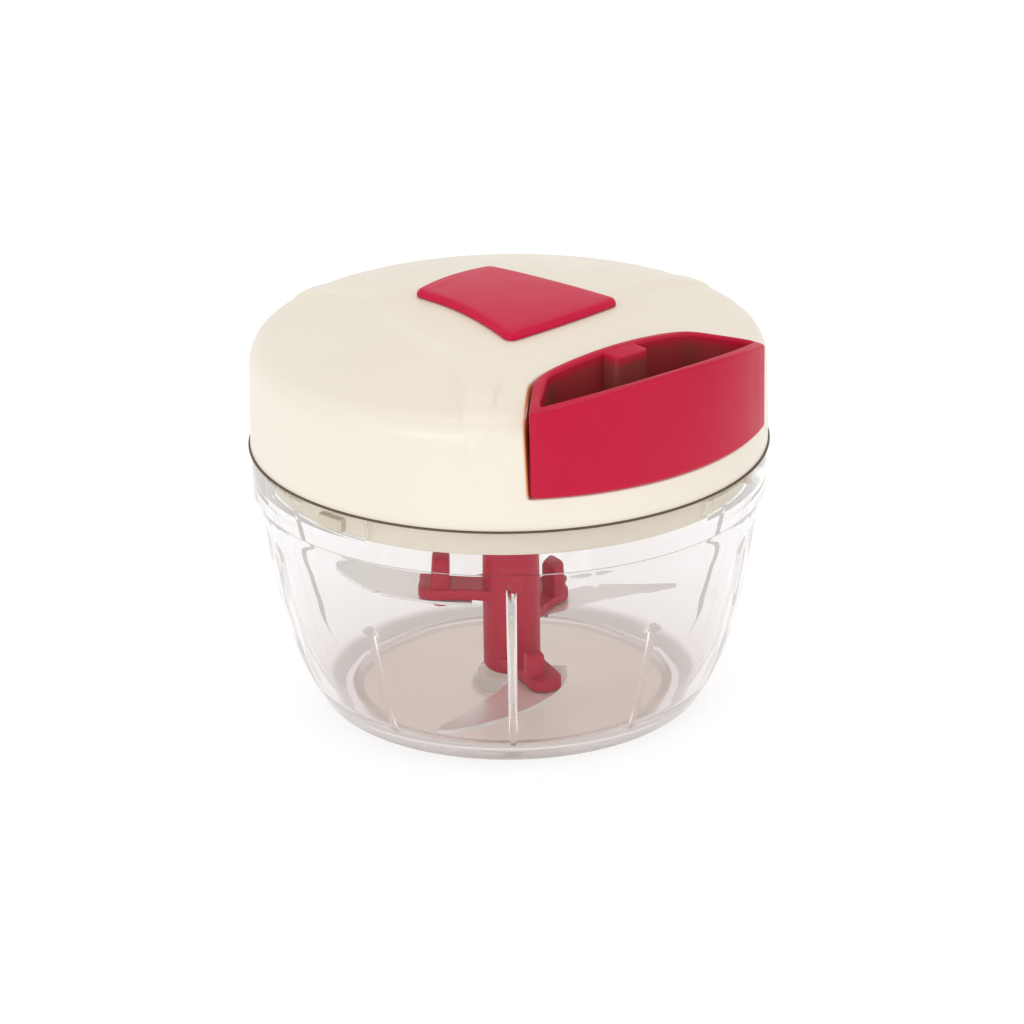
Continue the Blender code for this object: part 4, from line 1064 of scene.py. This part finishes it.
def cord_rod(start, end, radius):
    """A cylinder along the cord's line, between two distances from the axis."""
    start, end = plan(start, 0.0, CORD_Z), plan(end, 0.0, CORD_Z)
    turn = (end - start).to_track_quat('Z', 'Y').to_matrix().to_4x4()
    bm = bmesh.new()
    bmesh.ops.create_cone(bm, cap_ends=True, segments=32, radius1=radius * MM,
                          radius2=radius * MM, depth=(end - start).length,
                          matrix=Matrix.Translation((start + end) / 2.0) @ turn)
    return bm


carve(cover, cord_rod(HANDLE_BACK - 5.0, HANDLE_BACK + 2.0, CORD_HOLE_R))
place(cover, "lid_group", "cover_cream", "lid_cover", sharp=30.0)

# %% [markdown]
# ## Badge plate
# A red plate with hollow sides and bowed ends is glued on top of the dome. It is bare here.
# Its outline is a boundary walked once round with rounded corners. Rings of that boundary
# step inwards over a soft edge and then shrink towards the middle, while their height
# follows the dome, so the plate has the dome's curve.

# %% Badge outline
BADGE_LONG = 38.8
BADGE_HALF = 12.7
BADGE_FLARE = 5.7
BADGE_HIGH = 2.0
BADGE_MIDDLE = Vector((1.2, -0.8, 0.0))
CORNER = (0.13, 0.13 * 0.85)
SIDE_STEPS = 16


def badge_place(s, t):
    """Plan point of the badge: s runs across and t along it, each from -1 to 1."""
    w = 0.5 + 0.5 * t
    half = BADGE_HALF + BADGE_FLARE * w - 1.1 * math.sin(math.pi * w)
    u = BADGE_MIDDLE.x + 0.5 * BADGE_LONG * t + 1.7 * (1.0 - s * s) * t
    return u, half * s + BADGE_MIDDLE.y


def badge_outline():
    """(s, t) round the badge, with the four corners rounded."""
    points = []
    corners = [(1.0, -1.0), (1.0, 1.0), (-1.0, 1.0), (-1.0, -1.0)]
    for k, (s, t) in enumerate(corners):
        centre = (s - math.copysign(CORNER[0], s), t - math.copysign(CORNER[1], t))
        for i in range(7):
            a = math.radians(90.0 * (k - 1) + 15.0 * i)
            points.append((centre[0] + CORNER[0] * math.cos(a),
                           centre[1] + CORNER[1] * math.sin(a)))
        last = points[-1]
        s, t = corners[(k + 1) % 4]
        end = (s - math.copysign(CORNER[0], s), t - math.copysign(CORNER[1], t))
        end = (last[0], end[1]) if k % 2 == 0 else (end[0], last[1])
        for i in range(1, SIDE_STEPS):
            f = i / SIDE_STEPS
            points.append((last[0] + (end[0] - last[0]) * f, last[1] + (end[1] - last[1]) * f))
    return points


rim = [Vector((*badge_place(s, t), 0.0)) for s, t in badge_outline()]
print("badge outline of", len(rim), "points")

# %% Badge plate
def on_dome(q, lift):
    """A plan point of the badge, a lift in mm above the dome."""
    return plan(q.x, q.y, dome(q.length) + lift, BADGE_ANGLE)


def shrunk(scale, lift):
    """The badge's rim drawn in towards its middle."""
    return [on_dome(BADGE_MIDDLE + (p - BADGE_MIDDLE) * scale, lift) for p in rim]


rings = []
for inset, lift in ((0.0, GAP), (0.0, 0.8), (0.1, 1.15), (0.3, 1.47), (0.62, 1.74),
                    (1.05, 1.92), (1.6, BADGE_HIGH)):
    ring = []
    for k, p in enumerate(rim):
        along = (rim[(k + 1) % len(rim)] - rim[k - 1]).normalized()
        ring.append(on_dome(p + Vector((along.y, -along.x, 0.0)) * inset, lift))
    rings.append(ring)
rings += [shrunk(scale, BADGE_HIGH) for scale in (0.8, 0.65, 0.5, 0.35, 0.2, 0.08)]
bm = bmesh.new()
for sheet in (rings, [shrunk(scale, GAP) for scale in (1.0, 0.66, 0.33, 0.08)]):
    bm.faces.new(skin(bm, sheet, wrap=False)[-1])
badge = mesh_object(bm, "badge", BADGE)
place(badge, "lid_group", "badge_crimson", "badge_plate")

# %% [markdown]
# ## Handle
# The handle is a D-shaped loop: a bowed front plate, two turned ends and a straight back
# wall with a boss for the cord's knot. Stations round the loop give an outer and an inner
# point, a smooth curve runs through both, and a wall with round edges is skinned over
# them. The top edge arches, lower at the ends than in the middle.

# %% Handle stations
def handle_top(v):
    return HANDLE_TOP - ARCH_DROP * (v / ARCH_HALF) ** 2


def handle_stations():
    """Outer and inner plan points (u, v) round the loop, as photographed."""
    b, w, e, h = HANDLE_BACK, WALL, HANDLE_END, HANDLE_HALF
    right = [((b, h - 17.7), (b + w, h - 18.5)), ((b + 0.5, h - 14.3), (b + w + 0.2, h - 16.0)),
             ((b + 1.7, h - 11.7), (b + w + 0.9, h - 14.1)),
             ((b + 3.4, h - 9.5), (b + w + 2.1, h - 12.6)),
             ((b + 7.0, h - 5.9), (b + w + 5.2, h - 9.2)),
             ((e - 2.9, h - 2.65), (e - 3.0, h - 6.4)), ((e - 1.6, h - 1.4), (e - 1.5, h - 5.0)),
             ((e - 0.7, h - 0.9), (e - 0.95, h - 4.6)), ((e + 0.3, h - 1.0), (e - 0.4, h - 4.55)),
             ((e + 1.1, h - 1.6), (e + 0.05, h - 4.9)), ((e + 2.0, h - 3.0), (e + 0.6, h - 5.9))]
    front = []
    outer_half = math.asin(h / HANDLE_R) - 0.012
    inner_half = math.asin((h - 1.8 - w) / (HANDLE_R - w))
    for i in range(1, 12):
        a = outer_half * (1.0 - i / 6.0)
        k = inner_half * (1.0 - i / 6.0)
        front.append(((HANDLE_R * math.cos(a), HANDLE_R * math.sin(a)),
                      ((HANDLE_R - w) * math.cos(k), (HANDLE_R - w) * math.sin(k))))
    left = [((o[0], -o[1]), (n[0], -n[1])) for o, n in right[::-1]]
    back = [((b, v), (b + w, v * 0.95)) for v in (-11.0, 0.0, 11.0)]
    return right + front + left + back


both = [Vector((*o, *n)) for o, n in handle_stations()]
loop = smooth_line([both[-1]] + both + both[:2], 4)[4:-4]
print("loop:", len(loop) - 1, "stations")

# %% Handle loop
EDGE = 0.95
rings = []
for p in loop[:-1]:
    o, n = Vector((p[0], p[1])), Vector((p[2], p[3]))
    across = (n - o).normalized()
    ring = []
    for corner, inward, z, up, start in ((o, across, HANDLE_BOTTOM, 1.0, 270.0),
                                         (o, across, handle_top(o.y), -1.0, 180.0),
                                         (n, -across, handle_top(n.y), -1.0, 90.0),
                                         (n, -across, HANDLE_BOTTOM, 1.0, 0.0)):
        for k in range(5):
            a = math.radians(start - 22.5 * k)
            side = math.cos(a) if corner is o else -math.cos(a)
            q = corner + inward * EDGE * (1.0 + side)
            ring.append(plan(q.x, q.y, z + EDGE * (up + math.sin(a))))
    rings.append(ring)
bm = bmesh.new()
skin(bm, rings)
handle = mesh_object(bm, "pull_loop", CRIMSON)
print("handle:", len(handle.data.polygons), "faces before its boss")

# %% [markdown]
# The boss is a block with soft edges, united with the back wall. The cord comes through a
# narrow hole and its knot sits in a wider well.

# %% Boss, hole and well
b = HANDLE_BACK
boss = [plan(b + 1.0, -5.0), plan(b + 6.6, -5.0), plan(b + 7.8, -3.8), plan(b + 7.8, 3.8),
        plan(b + 6.6, 5.0), plan(b + 1.0, 5.0)]
carve(handle, block(boss, HANDLE_BOTTOM + 1.0, HANDLE_TOP - 0.3, 0.9), 'UNION')
carve(handle, cord_rod(b - 2.0, b + 5.0, 1.2))
carve(handle, cord_rod(b + 4.0, b + 10.0, 3.0))
place(handle, "handle_group", "handle_crimson", "pull_handle", sharp=40.0)

# %% [markdown]
# ## Seal, deck and skirt
# Between lid and bowl lies a thin brown seal, the darkest line in the picture. Above it is
# the lid's deck, whose skirt hangs into the bowl and carries the three lugs. Both are
# turned from a profile. The deck's cream is lighter than the lid's, painted light for what
# is lost through the bowl's wall. The lugs are small blocks with soft edges in a darker
# cream, painted shade for their look through the thick collar.

# %% Seal
low, high = BOWL_TOP + 0.04, COVER_BOTTOM - 0.04
half = 0.5 * (high - low)
profile = [(COLLAR_IN_R + 0.4, low), (RIM_R - half, low)]
profile += arc((RIM_R - half, low + half), half, -90.0, 90.0, 6)[1:]
profile += [(COLLAR_IN_R + 0.4, high)]
seal = mesh_object(turned(profile, 180), "seal_ring", SEAL)
place(seal, "seal_group", "seal_rubber", "rim_seal")

# %% Deck and skirt
HUB_R = 9.2
SKIRT_R = COLLAR_IN_R - GAP
SKIRT_BOTTOM = DECK_Z - 7.6
DECK_R = LID_R - 2.3
DECK_T = 2.0
LUG_SPAN = (-4.8, 2.6)
deck, top = DECK_Z, DECK_Z + DECK_T
profile = [(HUB_R + GAP, deck - 3.0), (HUB_R + 2.3, deck - 3.0), (HUB_R + 2.3, deck),
           (SKIRT_R - 2.6, deck), (SKIRT_R - 2.0, deck - 0.6), (SKIRT_R - 2.0, SKIRT_BOTTOM + 0.4)]
profile += arc((SKIRT_R - 1.6, SKIRT_BOTTOM + 0.4), 0.4, 180.0, 270.0, 4)[1:]
profile += arc((SKIRT_R - 0.5, SKIRT_BOTTOM + 0.5), 0.5, 270.0, 360.0, 4)
profile += [(SKIRT_R, deck), (DECK_R, deck), (DECK_R, top), (HUB_R + 3.8, top),
            (HUB_R + 3.8, top + 1.1), (HUB_R + 3.5, top + 1.4), (HUB_R + GAP, top + 1.4)]
skirt = mesh_object(turned(profile, 180), "deck_skirt", DECK, LUG)
for lug in LUG_ANGLES:
    carve(skirt, sector(SKIRT_R - 1.0, LUG_R, lug + LUG_SPAN[0], lug + LUG_SPAN[1], LUG_LOW,
                        LUG_HIGH - 0.5, 8, 0.45), 'UNION')
for face in skirt.data.polygons:
    on_lug = face.center.xy.length > (SKIRT_R + 0.1) * MM and face.center.z < (DECK_Z - 1.0) * MM
    face.material_index = 1 if on_lug else 0
for angle in SCREW_ANGLES:
    carve(skirt, round_block(polar(SCREW_R, angle, 0.0), SCREW_HOLE_R, deck - 1.0, top + 1.0, 24))
place(skirt, "lid_group", "deck_cream", "lid_base")

# %% [markdown]
# ## Deck screws
# Four screws hold the deck. They are one screw four times, so Geometry Nodes put a copy on
# each of four points. The turn of each slot is random but seeded, as no two screws stop at
# the same angle.

# %% One screw
SCREW = [(0.0, -0.9), (0.6, -0.9), (1.1, -1.8), (2.0, -1.65), (2.6, -1.2), (2.95, -0.5),
         (3.0, 0.0), (1.3, 0.0), (1.3, 12.4), (0.7, 13.4), (0.0, 13.4)]
SLOT = ((-1.9, -0.3), (1.9, -0.3), (1.9, 0.3), (-1.9, 0.3))
screw = mesh_object(turned(SCREW, 32), "screw", BRIGHT)
for turn in (0.0, 90.0):
    carve(screw, block([plan(u, v, 0.0, turn) for u, v in SLOT], -2.4, -1.0))
smooth(screw, 35.0)
print("screw:", len(screw.data.polygons), "faces")

# %% Four places
spread, entry, leave = group(
    "screws on points", 'GeometryNodeTree',
    [("Geometry", 'NodeSocketGeometry', None), ("Screw", 'NodeSocketObject', None),
     ("Seed", 'NodeSocketInt', 7), ("Material", 'NodeSocketMaterial', None)],
    [("Geometry", 'NodeSocketGeometry')])
model = box(spread, 'GeometryNodeObjectInfo', [("Object", entry.outputs["Screw"])])
spin = box(spread, 'FunctionNodeRandomValue', [(0, (0.0, 0.0, 0.0)), (1, (0.0, 0.0, math.pi)),
                                               ("Seed", entry.outputs["Seed"])],
           data_type='FLOAT_VECTOR')
copies = box(spread, 'GeometryNodeInstanceOnPoints',
             [("Points", entry.outputs["Geometry"]), ("Instance", model.outputs["Geometry"]),
              ("Rotation", spin.outputs[0])])
finish_tree(spread, entry, leave, copies.outputs[0])
bm = bmesh.new()
for angle in SCREW_ANGLES:
    bm.verts.new(polar(SCREW_R, angle, DECK_Z - GAP))
screws = mesh_object(bm, "deck_screws", BRIGHT)
run_nodes(screws, spread, {"Screw": screw, "Seed": 7, "Material": BRIGHT})
bpy.data.objects.remove(screw, do_unlink=True)
place(screws, "lid_group", "plain_steel", "base_screw_1", "base_screw_2", "base_screw_3",
      "base_screw_4")

# %% [markdown]
# ## Rotor: shaft and arms
# The red rotor is one moulding: a round shaft with three arms, each at its own height. An
# arm is a paddle with a rounded end. Paddles are blocks with soft edges, united with the
# turned shaft. A hexagon in the shaft's top takes the drum's drive, and each arm has a
# round hole for its post.

# %% Shaft and arms
SHAFT_R = 7.0
SHAFT_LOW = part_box("blade_shaft")[0].z / MM
SHAFT_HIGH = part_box("blade_shaft")[1].z / MM
PIN_R = 1.8
PIN_TOP = 14.6
PEG_R = 1.8
DRIVE_FLATS = 8.6
DRIVE_FLOOR = 51.7
ARM_T = 2.8
PADDLE = [(3.0, 5.4), (7.0, 5.0), (10.0, 4.2), (20.2, 4.0), (21.9, 3.0), (22.7, 1.3)]
ARMS = (("upper", -90.0, 25.8, (17.3, -87.0)), ("middle", 148.0, 17.8, (17.0, 142.0)),
        ("lower", 24.0, 8.6, (17.0, 18.0)))
profile = [(PIN_R, SHAFT_LOW), (SHAFT_R - 1.4, SHAFT_LOW)]
profile += arc((SHAFT_R - 1.4, SHAFT_LOW + 1.4), 1.4, -90.0, 0.0, 6)[1:]
profile += arc((SHAFT_R - 0.4, SHAFT_HIGH - 0.4), 0.4, 0.0, 90.0, 3)
profile += [(5.6, SHAFT_HIGH), (5.4, SHAFT_HIGH - 0.2), (5.4, SHAFT_HIGH - 1.0),
            (0.0, SHAFT_HIGH - 1.0), (0.0, PIN_TOP), (PIN_R, PIN_TOP)]
shaft = mesh_object(turned(profile, 96), "rotor_shaft", ROTOR)
outline = [(u, -v) for u, v in PADDLE] + PADDLE[::-1]
for _, angle, low, _ in ARMS:
    arm = block([plan(u, v, 0.0, angle) for u, v in outline], low, low + ARM_T, 0.5)
    carve(shaft, arm, 'UNION')
hexagon = [polar(DRIVE_FLATS / 2.0 / math.cos(math.pi / 6.0), 60.0 * i, 0.0) for i in range(6)]
carve(shaft, block(hexagon, DRIVE_FLOOR, SHAFT_HIGH + 2.0))
for _, _, low, peg in ARMS:
    carve(shaft, round_block(polar(*peg, 0.0), PEG_R, low - 3.0, low + ARM_T + 1.0))
place(shaft, "rotor_group", "rotor_crimson", "blade_shaft")

# %% [markdown]
# ## Blades
# Each blade is a curved plate of 1 mm steel, ground on its hollow side to a cutting edge.
# The grind is what catches the light, so it is modelled: the upper face is drawn in by
# about two millimetres along the hollow side and by a hair elsewhere, and a sloping face
# joins it to the thin rim.

# %% Blades
CURVED = ((-9.6, -5.2), (-20.0, -3.4), (-31.2, 1.4), (-32.2, 4.2), (-34.8, 4.5),
          (-38.8, 10.8), (-42.0, 16.8), (-44.0, 21.6), (-41.0, 20.0), (-37.4, 17.8),
          (-35.8, 15.4), (-31.0, 12.2), (-24.0, 8.0), (-14.0, 5.4), (-9.6, 4.6))
LOW_CURVED = ((13.2, -5.0), (13.2, -12.0), (10.8, -19.5), (6.8, -26.5), (1.2, -32.8),
              (-5.6, -38.0), (-12.0, -40.9), (-17.6, -41.1), (-12.4, -35.8), (-8.2, -31.0),
              (-4.8, -26.0), (-1.2, -19.6), (1.4, -14.2), (3.4, -9.9), (5.4, -8.3), (9.4, -5.0))
BLADES = {"upper": (CURVED, 0.0, 0.997), "middle": (CURVED, -124.5, 0.977),
          "lower": (LOW_CURVED, 0.0, 0.995)}
BLADE_T = 1.0
BLADE_RIM = 0.15
BLADE_STEPS = 3
TIP = 7 * BLADE_STEPS    # the tip is point 7 of either outline
HAIR = 0.12
GRIND = 2.2
GRIND_IN = 9.0    # steps over which the grind widens from the tip
GRIND_OUT = 6.0    # and narrows again at the arm
for label, _, low, peg in ARMS:
    points, turn, reach = BLADES[label]
    spin = Matrix.Rotation(math.radians(turn), 2)
    line = smooth_line([spin @ Vector(p) * reach for p in points], BLADE_STEPS)
    top = low - GAP
    rings = [[], [], []]
    for k, p in enumerate(line):
        along = heading(line, k)
        draw = HAIR
        if k > TIP:
            draw += (GRIND * min((k - TIP) / GRIND_IN, 1.0)
                     * min((len(line) - 1 - k) / GRIND_OUT, 1.0))
        q = p + Vector((-along.y, along.x)) * draw
        rings[0].append(Vector((p.x, p.y, top - BLADE_T)) * MM)
        rings[1].append(Vector((p.x, p.y, top - BLADE_T + BLADE_RIM)) * MM)
        rings[2].append(Vector((q.x, q.y, top)) * MM)
    blade = mesh_object(capped(rings), "blade_plate_" + label, BLADE)
    carve(blade, round_block(polar(*peg, 0.0), PEG_R, low - 4.0, low + 1.0))
    place(blade, "rotor_group", "blade_steel", "blade_" + label, sharp=6.0)

# %% [markdown]
# ## Blade posts
# A red post goes through each arm and holds the blade below it. Up to the arm it is round.
# Above the arm it is a square block with soft edges, a little narrower at the top.

# %% Blade posts
POST_SCALE = 0.95


def post_ring(peg, radius, z, is_round):
    """Points round a post: a circle, or a square with rounded corners."""
    ring = []
    for k in range(24):
        a = math.tau * k / 24
        c, s = math.cos(a), math.sin(a)
        reach = POST_SCALE * radius
        if not is_round:
            reach /= (abs(c) ** 5 + abs(s) ** 5) ** 0.2
        ring.append(plan(peg[0] + reach * c, reach * s, z, peg[1]))
    return ring


bm = bmesh.new()
for label, _, low, peg in ARMS:
    under = low - 2.0 * GAP - BLADE_T
    over = low + ARM_T + 0.02
    tall = 5.4 if label == "lower" else 6.0
    sections = [(2.0, under - 0.7, True), (2.4, under - 0.35, True), (2.4, under, True),
                (1.45, under, True), (1.45, over, True), (2.5, over, False),
                (2.45, over + 0.6, False), (2.3, over + tall - 0.5, False),
                (2.1, over + tall - 0.15, False), (1.7, over + tall, False)]
    capped([post_ring(peg, *section) for section in sections], bm)
posts = mesh_object(bm, "blade_posts", ROTOR)
place(posts, "rotor_group", "rotor_crimson", "blade_peg_upper", "blade_peg_middle",
      "blade_peg_lower")

# %% [markdown]
# ## Cord winding and recoil spring
# Under the dome the cord is wound on the drum and a flat spiral spring sits in the drum's
# cup. Both are a path with a section swept along it, so one Geometry Nodes tree makes
# both: a spiral with a start radius, an end radius and a height, and a profile of a given
# width and thickness.

# %% Spiral tree
sweep, entry, leave = group(
    "swept spiral", 'GeometryNodeTree',
    [("Geometry", 'NodeSocketGeometry', None), ("Turns", 'NodeSocketFloat', 3.0),
     ("Steps per turn", 'NodeSocketInt', 48), ("Start radius", 'NodeSocketFloat', 0.02),
     ("End radius", 'NodeSocketFloat', 0.02), ("Climb", 'NodeSocketFloat', 0.0),
     ("Reverse", 'NodeSocketBool', False), ("Round radius", 'NodeSocketFloat', 0.0008),
     ("Strip width", 'NodeSocketFloat', 0.0), ("Strip thickness", 'NodeSocketFloat', 0.0004),
     ("Is strip", 'NodeSocketBool', False), ("Place", 'NodeSocketVector', (0.0, 0.0, 0.0)),
     ("Turn", 'NodeSocketVector', (0.0, 0.0, 0.0)), ("Material", 'NodeSocketMaterial', None)],
    [("Geometry", 'NodeSocketGeometry')])
path = box(sweep, 'GeometryNodeCurveSpiral',
           [("Resolution", entry.outputs["Steps per turn"]), ("Rotations", entry.outputs["Turns"]),
            ("Start Radius", entry.outputs["Start radius"]),
            ("End Radius", entry.outputs["End radius"]), ("Height", entry.outputs["Climb"]),
            ("Reverse", entry.outputs["Reverse"])])
upright = box(sweep, 'GeometryNodeSetCurveNormal', [("Curve", path.outputs[0])], mode='Z_UP')
round_one = box(sweep, 'GeometryNodeCurvePrimitiveCircle',
                [("Resolution", 12), ("Radius", entry.outputs["Round radius"])])
flat_one = box(sweep, 'GeometryNodeCurvePrimitiveQuadrilateral',
               [("Width", entry.outputs["Strip thickness"]),
                ("Height", entry.outputs["Strip width"])])
chosen = box(sweep, 'GeometryNodeSwitch', [(0, entry.outputs["Is strip"]),
                                           (1, round_one.outputs["Curve"]),
                                           (2, flat_one.outputs["Curve"])],
             input_type='GEOMETRY')
tube = box(sweep, 'GeometryNodeCurveToMesh', [("Curve", upright.outputs[0]),
                                              ("Profile Curve", chosen.outputs[0]),
                                              ("Fill Caps", True)])
placed = box(sweep, 'GeometryNodeTransform', [("Geometry", tube.outputs[0]),
                                              ("Translation", entry.outputs["Place"]),
                                              ("Rotation", entry.outputs["Turn"])])
finish_tree(sweep, entry, leave, placed.outputs[0])

# %% Winding
tangent = math.acos(WIND_R / GUIDE_BEND)
leave_angle = HANDLE_ANGLE + math.degrees(tangent) + 1.2
wind_low, wind_high = (v.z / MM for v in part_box("cord_winding"))
winding = mesh_object(bmesh.new(), "winding", CORD)
run_nodes(winding, sweep, {
    "Turns": 3.0, "Steps per turn": 48, "Start radius": WIND_R * MM, "End radius": WIND_R * MM,
    "Climb": (wind_high - wind_low - 2.0 * CORD_R) * MM, "Reverse": True,
    "Round radius": CORD_R * MM, "Place": (0.0, 0.0, (wind_low + CORD_R) * MM),
    "Turn": (0.0, 0.0, math.radians(leave_angle - 90)), "Material": CORD})
place(winding, "pulley_group", "cord_white", "cord_winding")

# %% Spring
spring_low, spring_high = (v.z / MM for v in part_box("recoil_spring"))
spring = mesh_object(bmesh.new(), "spiral_spring", SPRING)
run_nodes(spring, sweep, {
    "Turns": 4.0, "Steps per turn": 64, "Start radius": 4.3 * MM, "End radius": 16.5 * MM,
    "Strip width": (spring_high - spring_low) * MM, "Strip thickness": 0.4 * MM,
    "Is strip": True, "Turn": (0.0, 0.0, math.radians(-90.0)),
    "Place": (0.0, 0.0, 0.5 * (spring_low + spring_high) * MM), "Material": SPRING})
place(spring, "pulley_group", "spring_steel", "recoil_spring")

# %% [markdown]
# ## Cord from the drum to the handle
# The cord leaves the drum on a straight line, bends in the guide and ends at the knot in
# the handle. When the handle is pulled, more cord comes out of the guide. This piece is
# built in its rest place and is not fixed to the lid or the handle.

# %% Cord to the handle
bend, mouth = Vector((GUIDE_BEND, 0.0)), Vector((GUIDE_BEND + 1.4, 0.0))
leaves = Vector((math.cos(tangent), math.sin(tangent))) * WIND_R
reach = (bend - leaves).length
ahead = (bend - leaves).normalized()
line = [leaves + ahead * (0.45 + (reach - 3.2) * k / 8.0) for k in range(9)]
corner = line[-1]
line += [corner * (1.0 - s) ** 2 + bend * (2.0 * s * (1.0 - s)) + mouth * s ** 2
         for s in (0.2, 0.4, 0.6, 0.8, 1.0)]
knot_side = HANDLE_BACK - 0.65
line += [Vector((mouth.x + (knot_side - mouth.x) * k / 8.0, 0.0)) for k in range(1, 9)]
rings = []
for k, p in enumerate(line):
    ahead = heading(line, k)
    side = Vector((-ahead.y, ahead.x)) * CORD_R
    ring = []
    for i in range(12):
        a = math.tau * i / 12
        q = p + side * math.cos(a)
        ring.append(plan(q.x, q.y, CORD_Z + CORD_R * math.sin(a)))
    rings.append(ring)
lead = mesh_object(capped(rings), "cord_lead", CORD)
smooth(lead)
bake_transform(lead)
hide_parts("cord_run")
print("cord lead of", len(line), "sections between lid and handle")

# %% [markdown]
# ## Solids that stay
# The drum, the washer, the pin and a few hidden pieces have the right shape already. They
# keep their solids and only get a finish.

# %% Finish the remaining solids
KEPT = {"pulley": DRIVE, "thrust_washer": BRIGHT, "pivot_pin": BRIGHT, "cord_guide": BRIGHT,
        "spring_arbor": BRIGHT, "spring_cap": CAP, "cord_knot": CORD}
for name, finish in KEPT.items():
    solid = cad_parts[name]
    for slot in solid.material_slots:
        slot.material = finish
print("kept solids:", ", ".join(KEPT))

# %% [markdown]
# ## Floor, world and lamps
# The chopper was photographed in a white tent. The world and the floor are white to the
# camera, in reflections and through clear plastic, and light the object at a plain level
# otherwise. What is seen of the floor is mostly a white of its own with a share of true
# diffuse, so that it still takes a shadow. Large lamps stand in front on the left, above
# and on the right, where the picture is lightest.

# %% Floor
WHITE = (1.0, 1.0, 1.0)


def seen_directly(tree):
    """1 for rays from the camera, a mirror or clear plastic, 0 for light that spreads."""
    rays = box(tree, 'ShaderNodeLightPath').outputs
    bent = calc(tree, 'MAXIMUM', rays["Is Glossy Ray"], rays["Is Transmission Ray"])
    return calc(tree, 'MAXIMUM', rays["Is Camera Ray"], bent)


def shone(tree, diffuse, emission, strength):
    """A diffuse surface with a light of its own added."""
    shaded = box(tree, 'ShaderNodeBsdfDiffuse', [("Color", (*diffuse, 1.0))])
    light = box(tree, 'ShaderNodeEmission', [("Color", (*emission, 1.0)), ("Strength", strength)])
    return box(tree, 'ShaderNodeAddShader', [(0, light.outputs[0]),
                                             (1, shaded.outputs[0])]).outputs[0]


floor_material = bpy.data.materials.new("floor")
floor_material.use_nodes = True
tree = floor_material.node_tree
tree.nodes.clear()
either = box(tree, 'ShaderNodeMixShader', [
    (0, seen_directly(tree)), (1, shone(tree, (0.8, 0.8, 0.8), (0.94, 1.0, 1.08), 0.35)),
    (2, shone(tree, (0.36, 0.36, 0.36), WHITE, 0.79))])
box(tree, 'ShaderNodeOutputMaterial', [("Surface", either.outputs[0])])
bm = bmesh.new()
bmesh.ops.create_grid(bm, x_segments=1, y_segments=1, size=6.0)
bmesh.ops.translate(bm, vec=(0.0, 0.0, -0.3 * MM), verts=bm.verts)
floor = mesh_object(bm, "floor", floor_material)
print("floor", [round(side, 1) for side in floor.dimensions[:2]], "metres")

# %% World and lamps
world = bpy.data.worlds.new("tent")
world.use_nodes = True
bpy.context.scene.world = world
tree = world.node_tree
tree.nodes.clear()
strength = remap(tree, seen_directly(tree), low=0.6, high=1.0)
sky = box(tree, 'ShaderNodeBackground', [("Color", (*WHITE, 1.0)), ("Strength", strength)])
box(tree, 'ShaderNodeOutputWorld', [("Surface", sky.outputs[0])])


def lamp(name, place, size, power, colour):
    """A square soft lamp that looks at the chopper."""
    data = bpy.data.lights.new(name, 'AREA')
    data.shape = 'SQUARE'
    data.size = size
    data.energy = power
    data.color = colour
    made = bpy.data.objects.new(name, data)
    bpy.context.scene.collection.objects.link(made)
    made.location = place
    aim = Vector((0.0, 0.0, 0.06)) - Vector(place)
    made.rotation_euler = aim.to_track_quat('-Z', 'Y').to_euler()
    print(name, "lamp of", power, "W")


lamp("front left", (-1.1, -1.7, 0.55), 1.0, 10.7, (0.94, 1.0, 1.08))
lamp("above", (0.0, 0.2, 1.8), 1.2, 7.3, (1.0, 0.95, 0.88))
lamp("right", (1.5, -0.8, 0.6), 0.9, 4.2, WHITE)
bpy.context.scene.view_settings.view_transform = 'Standard'
